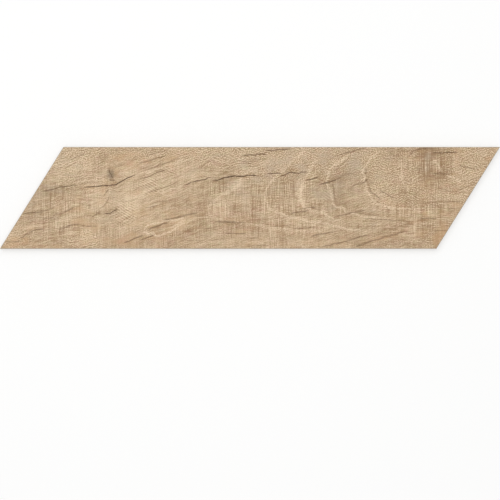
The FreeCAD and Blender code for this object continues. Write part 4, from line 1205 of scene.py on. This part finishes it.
def figure_of(places):
    """Everything that the print and the relief are made from, by name, for each place of the face."""
    split_offset, split_strength = drawn(places, SPLITS)
    growth_offset, growth_strength = drawn(places, GROWTH)
    mark_offset, mark_strength = drawn(places, SAW_MARKS)
    arch_inside, arch_strength = beside_arches(places)
    tone, warmth = toned(places)
    wander = uneven(places, WANDER_LUMPS, WANDER_SEED) * WANDER
    zones = {
        name: np.clip(patched(places, rounds), least, most) for name, (rounds, least, most) in ZONES.items()
    }
    return {
        **zones,
        "along": places[:, 0],
        "across": places[:, 1] - fibre_rise(places[:, 0]) + wander,
        "split_offset": split_offset,
        "split_strength": split_strength,
        "growth_offset": growth_offset,
        "growth_strength": growth_strength,
        "mark_offset": mark_offset,
        "mark_strength": mark_strength,
        "arch_inside": arch_inside,
        "arch_strength": arch_strength,
        "tone": tone,
        "warmth": warmth,
        "moss": patched(places, MOSS_PATCHES),
        "saw": uneven(places, SAW_LUMPS, SAW_SEED) * zones["saw_zone"],
        "lively": 1 - np.clip(patched(places, CALM_ZONES), 0, CALMEST),
        "knot": np.minimum(round_gap(places, KNOT_MIDDLE, KNOT_RADII, 0), NO_STROKE),
        "small_knot": np.minimum(round_gap(places, SMALL_KNOT_MIDDLE, SMALL_KNOT_RADII, 0), NO_STROKE),
    }


class Graph:
    """A material's node tree, which makes nodes and wires their sockets."""

    def __init__(self, material):
        material.use_nodes = True
        self.tree = material.node_tree
        self.tree.nodes.clear()

    def node(self, kind, settings=None, inputs=None, output=0):
        """Adds a node, sets its settings and then its inputs, and gives one of its outputs."""
        made = self.tree.nodes.new(kind)
        for name, value in (settings or {}).items():
            setattr(made, name, value)
        for key, value in (inputs or {}).items():
            if isinstance(value, Wire):
                self.tree.links.new(value.socket, made.inputs[key])
            else:
                made.inputs[key].default_value = value
        return Wire(self, made.outputs[output]) if len(made.outputs) else made

    def place(self, axis):
        """X, Y or Z of a point of the piece, in metres."""
        point = self.node("ShaderNodeTexCoord", output="Object")
        return self.node("ShaderNodeSeparateXYZ", inputs={0: point}, output=axis)

    def attribute(self, name):
        """A value that the mesh carries."""
        return self.node("ShaderNodeAttribute", {"attribute_name": name}, output="Fac")

    def maths(self, operation, *values):
        """A Math node on these values."""
        return self.node("ShaderNodeMath", {"operation": operation}, dict(enumerate(values)))

    def vector(self, x, y, z):
        """Three values as one vector."""
        return self.node("ShaderNodeCombineXYZ", inputs={0: x, 1: y, 2: z})

    def noise(self, vector, detail):
        """Smooth noise about zero, mostly between -2 and 2."""
        settings = {"noise_dimensions": "3D", "normalize": True}
        inputs = {"Vector": vector, "Scale": 1.0, "Detail": detail, "Roughness": NOISE_ROUGHNESS}
        return (self.node("ShaderNodeTexNoise", settings, inputs) - NOISE_MEAN) * NOISE_GAIN

    def step(self, value, low, high):
        """0 at low, 1 at high and a smooth climb between."""
        settings = {"interpolation_type": "SMOOTHSTEP", "clamp": True}
        return self.node("ShaderNodeMapRange", settings, {0: value, 1: low, 2: high, 3: 0.0, 4: 1.0})

    def mix(self, share, first, second, blend="MIX"):
        """Colour between two colours."""
        settings = {"data_type": "RGBA", "blend_type": blend, "clamp_factor": True}
        return self.node("ShaderNodeMix", settings, {0: share, 6: first, 7: second}, output=2)


class Wire:
    """A socket of a node tree, which Python's operators join to Math nodes."""

    def __init__(self, graph, socket):
        self.graph = graph
        self.socket = socket

    def __add__(self, other):
        return self.graph.maths("ADD", self, other)

    def __sub__(self, other):
        return self.graph.maths("SUBTRACT", self, other)

    def __rsub__(self, other):
        return self.graph.maths("SUBTRACT", other, self)

    def __mul__(self, other):
        return self.graph.maths("MULTIPLY", self, other)

    def __truediv__(self, other):
        return self.graph.maths("DIVIDE", self, other)

    def __abs__(self):
        return self.graph.maths("ABSOLUTE", self)

    __radd__ = __add__
    __rmul__ = __mul__


def opaque(colour):
    """A colour with the fourth value that a socket wants."""
    return (*colour, 1.0)


def finish_surface(graph, colour, roughness, height):
    """Joins a colour, a roughness and a bump to the material's output."""
    inputs = {"Strength": 1.0, "Distance": BUMP_DEPTH, "Height": height}
    normal = graph.node("ShaderNodeBump", inputs=inputs, output="Normal")
    inputs = {"Base Color": colour, "Roughness": roughness, "Normal": normal}
    shader = graph.node("ShaderNodeBsdfPrincipled", inputs=inputs)
    graph.node("ShaderNodeOutputMaterial", inputs={"Surface": shader})


def print_textures(graph):
    """Every texture of the print, by name."""
    x = graph.place("X")
    y = graph.place("Y")
    along = graph.attribute("along")
    across = graph.attribute("across")

    def lumps(right, up, length, width, layer, detail):
        """Noise whose lumps have this length and width in millimetres."""
        return graph.noise(graph.vector(right / (length * MM), up / (width * MM), layer), detail)

    textures = {"saw": graph.attribute("saw")}
    for name, sizes in GRAIN.items():
        textures[name] = lumps(along, across, *sizes)
    for name, sizes in UPRIGHT.items():
        textures[name] = lumps(x, y, *sizes)
    for name, (right, up, pitch, size, bend, layer, patch_layer) in RIPPLES.items():
        waver = lumps(x, y, size, size, layer, RIPPLE_DETAIL) * bend
        textures[name] = graph.maths("SINE", (x * right + y * up) * (math.tau / (pitch * MM)) + waver)
        if patch_layer:
            patches = lumps(x, y, PATCH_SIZE, PATCH_SIZE, patch_layer, RIPPLE_DETAIL)
            textures[name] = textures[name] * graph.step(patches, *PATCH_FADE)
    textures["pores"] = graph.step(textures["pores"], *PORE_FADE)
    return SimpleNamespace(**textures)


def blended(graph, look, shares):
    """Sum of textures, each by its share and by the zone that it shows in, where it has one."""
    total = 0.0
    for name, share, zone in shares:
        part = getattr(look, name) * share
        total = total + (part * graph.attribute(zone) if zone else part)
    return total


def print_splits(graph, look):
    """How strongly the seams show, and the dark splits in them. Both break off here and there."""
    gap = abs(graph.attribute("split_offset") + look.wobble * SPLIT_WOBBLE)
    strength = graph.attribute("split_strength")
    seam = graph.step(gap, *SEAM_FADE) * strength * graph.step(look.ragged, *SEAM_BREAKS)
    deep = graph.maths("POWER", strength, SPLIT_CONTRAST)
    split = graph.step(gap, *SPLIT_FADE) * deep * graph.step(look.ragged, *SPLIT_BREAKS)
    return seam, split


def print_rings(graph, look):
    """How strongly the pale growth lines show, and what the rings inside them add to the tone."""
    uneven_rim = look.lumps * GROWTH_LUMPS
    flecks = graph.step(look.speckle * FLECK_SPECKLE + look.falling + look.rising + look.ragged, *FLECK_FADE)
    gap = abs(graph.attribute("growth_offset") + uneven_rim + look.ragged * GROWTH_RAGGED)
    growth = graph.step(gap, *GROWTH_FADE) * graph.attribute("growth_strength")
    growth = growth * between(GROWTH_UNBROKEN, flecks)
    arch = graph.attribute("arch_inside") + uneven_rim * ARCH_LUMPS
    arch = arch + look.ragged * ARCH_RAGGED + look.speckle * ARCH_SPECKLE
    strength = graph.attribute("arch_strength")
    edge = graph.step(arch, *ARCH_OUTSIDE) * graph.step(arch, *ARCH_INSIDE) * strength
    growth = graph.maths("MAXIMUM", growth, edge * between(ARCH_UNBROKEN, flecks) * ARCH_GAIN)
    under = graph.step(arch, *UNDER_FADE) * graph.maths("EXPONENT", arch * -UNDER_DECAY)
    inner = graph.maths("SINE", arch * INNER_TURN) * graph.maths("EXPONENT", abs(arch) * -INNER_DECAY)
    halo = graph.maths("EXPONENT", arch * arch * -HALO_DECAY)
    return growth, (inner * INNER_TONE + halo * HALO_TONE - under * UNDER_TONE) * strength


def print_knots(graph, look):
    """How strongly the dark wood of the two knots shows."""
    large = graph.step(graph.attribute("knot") + look.knot_rim * KNOT_RAGGED, *KNOT_FADE)
    small = graph.step(graph.attribute("small_knot"), *SMALL_KNOT_FADE)
    return large + small * SMALL_KNOT_SHARE


def print_material(settings):
    """Matt oak print: bands and fibres along the grain, growth lines, splits, saw marks and knots."""
    material = bpy.data.materials.new("oak_print")
    graph = Graph(material)
    look = print_textures(graph)
    seam, split = print_splits(graph, look)
    growth, rings = print_rings(graph, look)
    mark = graph.step(abs(graph.attribute("mark_offset")), *MARK_FADE) * graph.attribute("mark_strength")
    mark = mark * between(MARK_UNBROKEN, graph.step(look.wear, *MARK_WEAR))
    tone = graph.attribute("tone") + TONE_SHIFT + blended(graph, look, TONE_SHARES) + rings - mark * MARK_TONE

    colour = graph.mix(tone + MID_TONE, opaque(settings.dark), opaque(settings.pale))
    for name, shares, (start, full), opacity, tints, blend in (
        ("warmth", WARMTH_SHARES, WARMTH_FADE, WARMTH_OPACITY, (settings.warm, settings.cool), "MIX"),
        ("moss", MOSS_SHARES, MOSS_FADE, MOSS_OPACITY, (settings.moss, settings.rose), "SOFT_LIGHT"),
    ):
        lean = graph.attribute(name) + blended(graph, look, shares)
        for side, tint in zip((1, -1), tints):
            share = graph.step(lean, start * side, full * side) * opacity
            colour = graph.mix(share, colour, opaque(tint), blend)
    for share, opacity, tint in (
        (growth, GROWTH_OPACITY, settings.cream),
        (print_knots(graph, look), KNOT_OPACITY, settings.knot),
        (seam, SEAM_OPACITY, settings.seam),
        (split, SPLIT_OPACITY, settings.split),
    ):
        colour = graph.mix(share * opacity, colour, opaque(tint))

    roughness = settings.roughness - tone * GLAZE_IN_PALE + split * ROUGH_SPLIT
    finish_surface(graph, colour, roughness, blended(graph, look, BUMP_SHARES))
    return material


def body_material(settings):
    """Bare fired porcelain: peppered, with lines of the grinding wheel, and kiln wash on the ribs."""
    material = bpy.data.materials.new("fired_body")
    graph = Graph(material)
    x = graph.place("X")
    y = graph.place("Y")
    z = graph.place("Z")
    textures = {}
    for name, (wide, high, layer, detail) in BODY_LUMPS.items():
        vector = graph.vector(x / (wide * MM), y / (wide * MM), z / (high * MM) + layer)
        textures[name] = graph.noise(vector, detail)
    look = SimpleNamespace(**textures)
    back = graph.step(z, *BACK_HEIGHTS)
    ribs = graph.step(z, *RIB_HEIGHTS)
    look.wheel = look.wheel * (1 - back)
    look.pepper = graph.step(look.pepper, *PEPPER_FADE)
    dusty = graph.step(look.dust + look.clouds * CLOUDY_DUST, *DUST_FADE)

    darker = opaque([(1 - BODY_CONTRAST) * share for share in settings.body])
    paler = opaque([(1 + BODY_CONTRAST) * share for share in settings.body])
    colour = graph.mix(MID_TONE + blended(graph, look, BODY_SHARES), darker, paler)
    colour = graph.mix(look.pepper * PEPPER_OPACITY, colour, opaque(settings.pepper))
    wash = dusty * (POCKET_WASH + ribs * RIB_WASH) * back
    colour = graph.mix(wash, colour, opaque(settings.wash))
    roughness = settings.roughness + look.grit * GRIT_ROUGHNESS
    finish_surface(graph, colour, roughness, blended(graph, look, BODY_BUMP_SHARES))
    return material


def select_only(piece):
    """Leaves this object alone selected, and active."""
    bpy.ops.object.select_all(action="DESELECT")
    piece.select_set(True)
    bpy.context.view_layer.objects.active = piece


def vertex_places(mesh):
    """The mesh's vertices as rows of X, Y, Z."""
    places = np.zeros(len(mesh.vertices) * 3)
    mesh.vertices.foreach_get("co", places)
    return places.reshape(-1, 3)


def select_in_mesh(mesh, kind, chosen):
    """Selects these edges or faces of the mesh being edited, and nothing else."""
    bpy.ops.mesh.select_mode(type=kind)
    bpy.ops.mesh.select_all(action="DESELECT")
    bpy.ops.object.mode_set(mode="OBJECT")
    parts = mesh.edges if kind == "EDGE" else mesh.polygons
    parts.foreach_set("select", chosen)
    bpy.ops.object.mode_set(mode="EDIT")


def edge_ends(mesh):
    """Both ends of every edge of the mesh being edited, as two arrays of places."""
    bpy.ops.object.mode_set(mode="OBJECT")
    ends = np.zeros(len(mesh.edges) * 2, int)
    mesh.edges.foreach_get("vertices", ends)
    places = vertex_places(mesh)[ends.reshape(-1, 2)]
    bpy.ops.object.mode_set(mode="EDIT")
    return places[:, 0], places[:, 1]


def cut_edges(mesh, pieces, lengthwise):
    """Cuts the level edges above the back's bevel, along the tile or across it, into equal pieces."""
    for count in pieces:
        start, end = edge_ends(mesh)
        level = (abs(start[:, 2] - end[:, 2]) < TOUCH) & (start[:, 2] > THICKNESS * ABOVE_BACK_BEVEL)
        along = abs(start[:, 1] - end[:, 1]) < TOUCH
        select_in_mesh(mesh, "EDGE", level & (along if lengthwise else ~along))
        bpy.ops.mesh.subdivide(number_cuts=count - 1, ngon=True)


def tile_blank():
    """The tile's own mesh, welded, with its face and edges cut into a fine grid."""
    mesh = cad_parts[NODE].data.copy()
    mesh.name = "tile"
    mesh.materials.clear()
    tile = bpy.data.objects.new("tile", mesh)
    bpy.context.scene.collection.objects.link(tile)
    select_only(tile)
    bpy.ops.object.mode_set(mode="EDIT")
    bpy.ops.mesh.select_all(action="SELECT")
    bpy.ops.mesh.remove_doubles(threshold=TOUCH)
    bpy.ops.mesh.customdata_custom_splitnormals_clear()
    bpy.ops.object.mode_set(mode="OBJECT")
    above = [face.center.z > THICKNESS * ABOVE_BACK for face in mesh.polygons]
    bpy.ops.object.mode_set(mode="EDIT")
    select_in_mesh(mesh, "FACE", above)
    bpy.ops.mesh.dissolve_limited(angle_limit=FLAT_ANGLE)
    cut_edges(mesh, FACE_COLUMNS, lengthwise=True)
    cut_edges(mesh, FACE_ROWS, lengthwise=False)
    bpy.ops.object.mode_set(mode="OBJECT")
    return tile


def sink(tile, name, weights, depth):
    """Sinks the tile's vertices by a depth times their weight."""
    group = tile.vertex_groups.new(name=name)
    for index in np.flatnonzero(weights > LEAST_WEIGHT):
        group.add([int(index)], float(weights[index]), "REPLACE")
    modifier = tile.modifiers.new(name, "DISPLACE")
    modifier.direction = "Z"
    modifier.mid_level = 0
    modifier.strength = -depth
    modifier.vertex_group = name
    bpy.ops.object.modifier_apply(modifier=name)


def press_relief(tile, face, figure, settings):
    """Sinks the splits, growth lines and marks of the saw into the face, which stays level at its rim."""
    places = vertex_places(tile.data)[face][:, :2]
    end = (LONG_EDGE / 2 - abs(straightened(places)[:, 0])) * math.sin(MITRE)
    rim = np.minimum(WIDTH / 2 - abs(places[:, 1]), end)
    inward = smooth_step(*LEVEL_RIM, rim)
    split = smooth_step(*SUNK_SPLIT, abs(figure["split_offset"])) * figure["split_strength"]
    growth = smooth_step(*SUNK_GROWTH, abs(figure["growth_offset"])) * figure["growth_strength"]
    saw = between(SAW_MIDDLE, figure["saw"])
    for name, depth, share in (
        ("splits", settings.split_depth, split),
        ("growth_lines", settings.growth_depth, growth),
        ("saw_marks", settings.saw_depth, saw),
    ):
        weights = np.zeros(len(tile.data.vertices))
        weights[face] = share * inward
        sink(tile, name, weights, depth)


def straightened(places):
    """Places on the tile as they would lie with its lean taken out, so that its ends are square."""
    return np.column_stack([places[:, 0] - places[:, 1] / math.tan(MITRE), places[:, 1]])


def lay_out(mesh):
    """Lays the tile out flat for the bake: the face in two halves, then the back and the four edges."""
    layer = mesh.uv_layers.new(name="OFBake")
    corners = np.zeros(len(mesh.loops), int)
    mesh.loops.foreach_get("vertex_index", corners)
    places = vertex_places(mesh)[corners]
    flat = straightened(places)
    across = flat[:, 0] / LONG_EDGE + 0.5
    up = places[:, 1] / WIDTH + 0.5
    height = places[:, 2] / THICKNESS
    sizes = np.array([polygon.loop_total for polygon in mesh.polygons])
    normals = np.repeat([polygon.normal[:] for polygon in mesh.polygons], sizes, axis=0)
    centres = straightened(np.array([polygon.center[:] for polygon in mesh.polygons]))
    second_half = np.repeat(centres[:, 0], sizes) > 0
    face = normals[:, 2] > FACING
    back = normals[:, 2] < FACING_DOWN
    lengthwise = abs(normals[:, 1]) > abs(normals[:, 0])
    far = np.where(lengthwise, normals[:, 1], normals[:, 0]) > 0
    strip = EDGE_ROWS + (2 * lengthwise + far) * (EDGE_HEIGHT + ROW_GAP)
    u = np.where(face, 2 * across - second_half, np.where(back | lengthwise, across, up))
    v = np.where(face, FACE_HEIGHT * up + second_half * (FACE_HEIGHT + ROW_GAP), 0)
    v = np.where(back, BACK_ROW + BACK_HEIGHT * up, v)
    v = np.where(face | back, v, strip + EDGE_HEIGHT * height)
    layer.data.foreach_set("uv", np.column_stack([u, v]).clip(0, 1).ravel())


class TILE_OT_add_tile(bpy.types.Operator):
    """Adds the dressed tile, which stands for the plain one"""

    bl_idname = "tile.add_tile"
    bl_label = "Add tile"

    def execute(self, context):
        settings = context.scene.tile_print
        tile = tile_blank()
        mesh = tile.data
        face = np.flatnonzero(vertex_places(mesh)[:, 2] > TILE_HIGH.z - FACE_SKIN)
        figure = figure_of(vertex_places(mesh)[face][:, :2])
        for name, values in figure.items():
            every = np.zeros(len(mesh.vertices), np.float32)
            every[face] = values
            mesh.attributes.new(name, "FLOAT", "POINT").data.foreach_set("value", every)
        mesh.materials.append(print_material(settings))
        mesh.materials.append(body_material(context.scene.tile_body))
        printed = np.array([polygon.normal.z > FACING for polygon in mesh.polygons])
        mesh.polygons.foreach_set("material_index", np.where(printed, 0, 1))
        lay_out(mesh)
        press_relief(tile, face, figure, settings)
        select_only(tile)
        bpy.ops.object.shade_smooth_by_angle(angle=SMOOTH_ANGLE)
        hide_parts(NODE)
        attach(tile, "root")
        return {"FINISHED"}


class TILE_OT_add_studio(bpy.types.Operator):
    """Adds the floor, the light and the camera"""

    bl_idname = "tile.add_studio"
    bl_label = "Add studio"

    def execute(self, context):
        settings = context.scene.tile_studio
        add_floor(settings)
        add_light(settings)
        add_camera(settings)
        return {"FINISHED"}


def add_floor(settings):
    """A pale floor, level with the tile's back."""
    bpy.ops.object.select_all(action="DESELECT")
    bpy.ops.mesh.primitive_plane_add(size=FLOOR_SIZE)
    floor = bpy.context.object
    floor.name = "floor"
    material = bpy.data.materials.new("pale_floor")
    graph = Graph(material)
    inputs = {"Base Color": opaque(settings.floor), "Roughness": FLOOR_ROUGHNESS}
    matt = graph.node("ShaderNodeBsdfPrincipled", inputs=inputs)
    glow = graph.node("ShaderNodeEmission", inputs={"Color": WHITE, "Strength": 1.0})
    seen = graph.node("ShaderNodeLightPath", output="Is Camera Ray")
    shader = graph.node("ShaderNodeMixShader", inputs={0: seen * settings.floor_glow, 1: matt, 2: glow})
    graph.node("ShaderNodeOutputMaterial", inputs={"Surface": shader})
    floor.data.materials.append(material)


def add_light(settings):
    """Even light all round, seen as bright as the far floor, and a large soft lamp over the upper left."""
    world = bpy.data.worlds.new("studio")
    world.use_nodes = True
    tree = world.node_tree
    tree.nodes.clear()
    path = tree.nodes.new("ShaderNodeLightPath")
    seen = tree.nodes.new("ShaderNodeBackground")
    seen.inputs["Strength"].default_value = settings.floor_glow + (1 - settings.floor_glow) * settings.sky
    seen.inputs["Color"].default_value = WHITE
    lit = tree.nodes.new("ShaderNodeBackground")
    lit.inputs["Strength"].default_value = settings.sky
    lit.inputs["Color"].default_value = WHITE
    choose = tree.nodes.new("ShaderNodeMixShader")
    out = tree.nodes.new("ShaderNodeOutputWorld")
    tree.links.new(path.outputs["Is Camera Ray"], choose.inputs[0])
    tree.links.new(lit.outputs[0], choose.inputs[1])
    tree.links.new(seen.outputs[0], choose.inputs[2])
    tree.links.new(choose.outputs[0], out.inputs[0])
    bpy.context.scene.world = world
    lamp = bpy.data.lights.new("soft_lamp", "AREA")
    lamp.size = LAMP_SIZE
    lamp.energy = settings.lamp
    holder = bpy.data.objects.new("soft_lamp", lamp)
    holder.location = LAMP_PLACE
    holder.rotation_euler = (-holder.location).to_track_quat("-Z", "Y").to_euler()
    bpy.context.scene.collection.objects.link(holder)


def add_camera(settings):
    """A camera straight over the middle of the photograph, which shows the tile's rim at its scale there."""
    camera = bpy.data.cameras.new("camera")
    camera.lens = settings.lens
    holder = bpy.data.objects.new("camera", camera)
    height = THICKNESS + PHOTO_PIXELS * PIXEL * camera.lens / camera.sensor_width
    holder.location = (*on_face([PHOTO_MIDDLE])[0], height)
    bpy.context.scene.collection.objects.link(holder)
    bpy.context.scene.camera = holder


class TILE_PT_sidebar(bpy.types.Panel):
    """Lists the tile and its studio, with their settings"""

    bl_idname = "TILE_PT_sidebar"
    bl_label = "Chevron wall tile"
    bl_space_type = "VIEW_3D"
    bl_region_type = "UI"
    bl_category = "Tile"

    def draw(self, context):
        scene = context.scene
        for operator, groups in (
            (TILE_OT_add_tile, (scene.tile_print, scene.tile_body)),
            (TILE_OT_add_studio, (scene.tile_studio,)),
        ):
            box = self.layout.box()
            for group in groups:
                for name in group.__annotations__:
                    box.prop(group, name)
            box.operator(operator.bl_idname)


CLASSES = (
    PrintSettings, BodySettings, StudioSettings, TILE_OT_add_tile, TILE_OT_add_studio, TILE_PT_sidebar,
)
GROUPS = {"tile_print": PrintSettings, "tile_body": BodySettings, "tile_studio": StudioSettings}


def register():
    for made in CLASSES:
        bpy.utils.register_class(made)
    for name, group in GROUPS.items():
        setattr(bpy.types.Scene, name, bpy.props.PointerProperty(type=group))


def unregister():
    for name in GROUPS:
        delattr(bpy.types.Scene, name)
    for made in reversed(CLASSES):
        bpy.utils.unregister_class(made)


def main():
    """Makes the tile and its studio."""
    register()
    bpy.context.scene.view_settings.view_transform = "Standard"
    bpy.ops.tile.add_tile()
    bpy.ops.tile.add_studio()


if __name__ == "__main__":
    main()
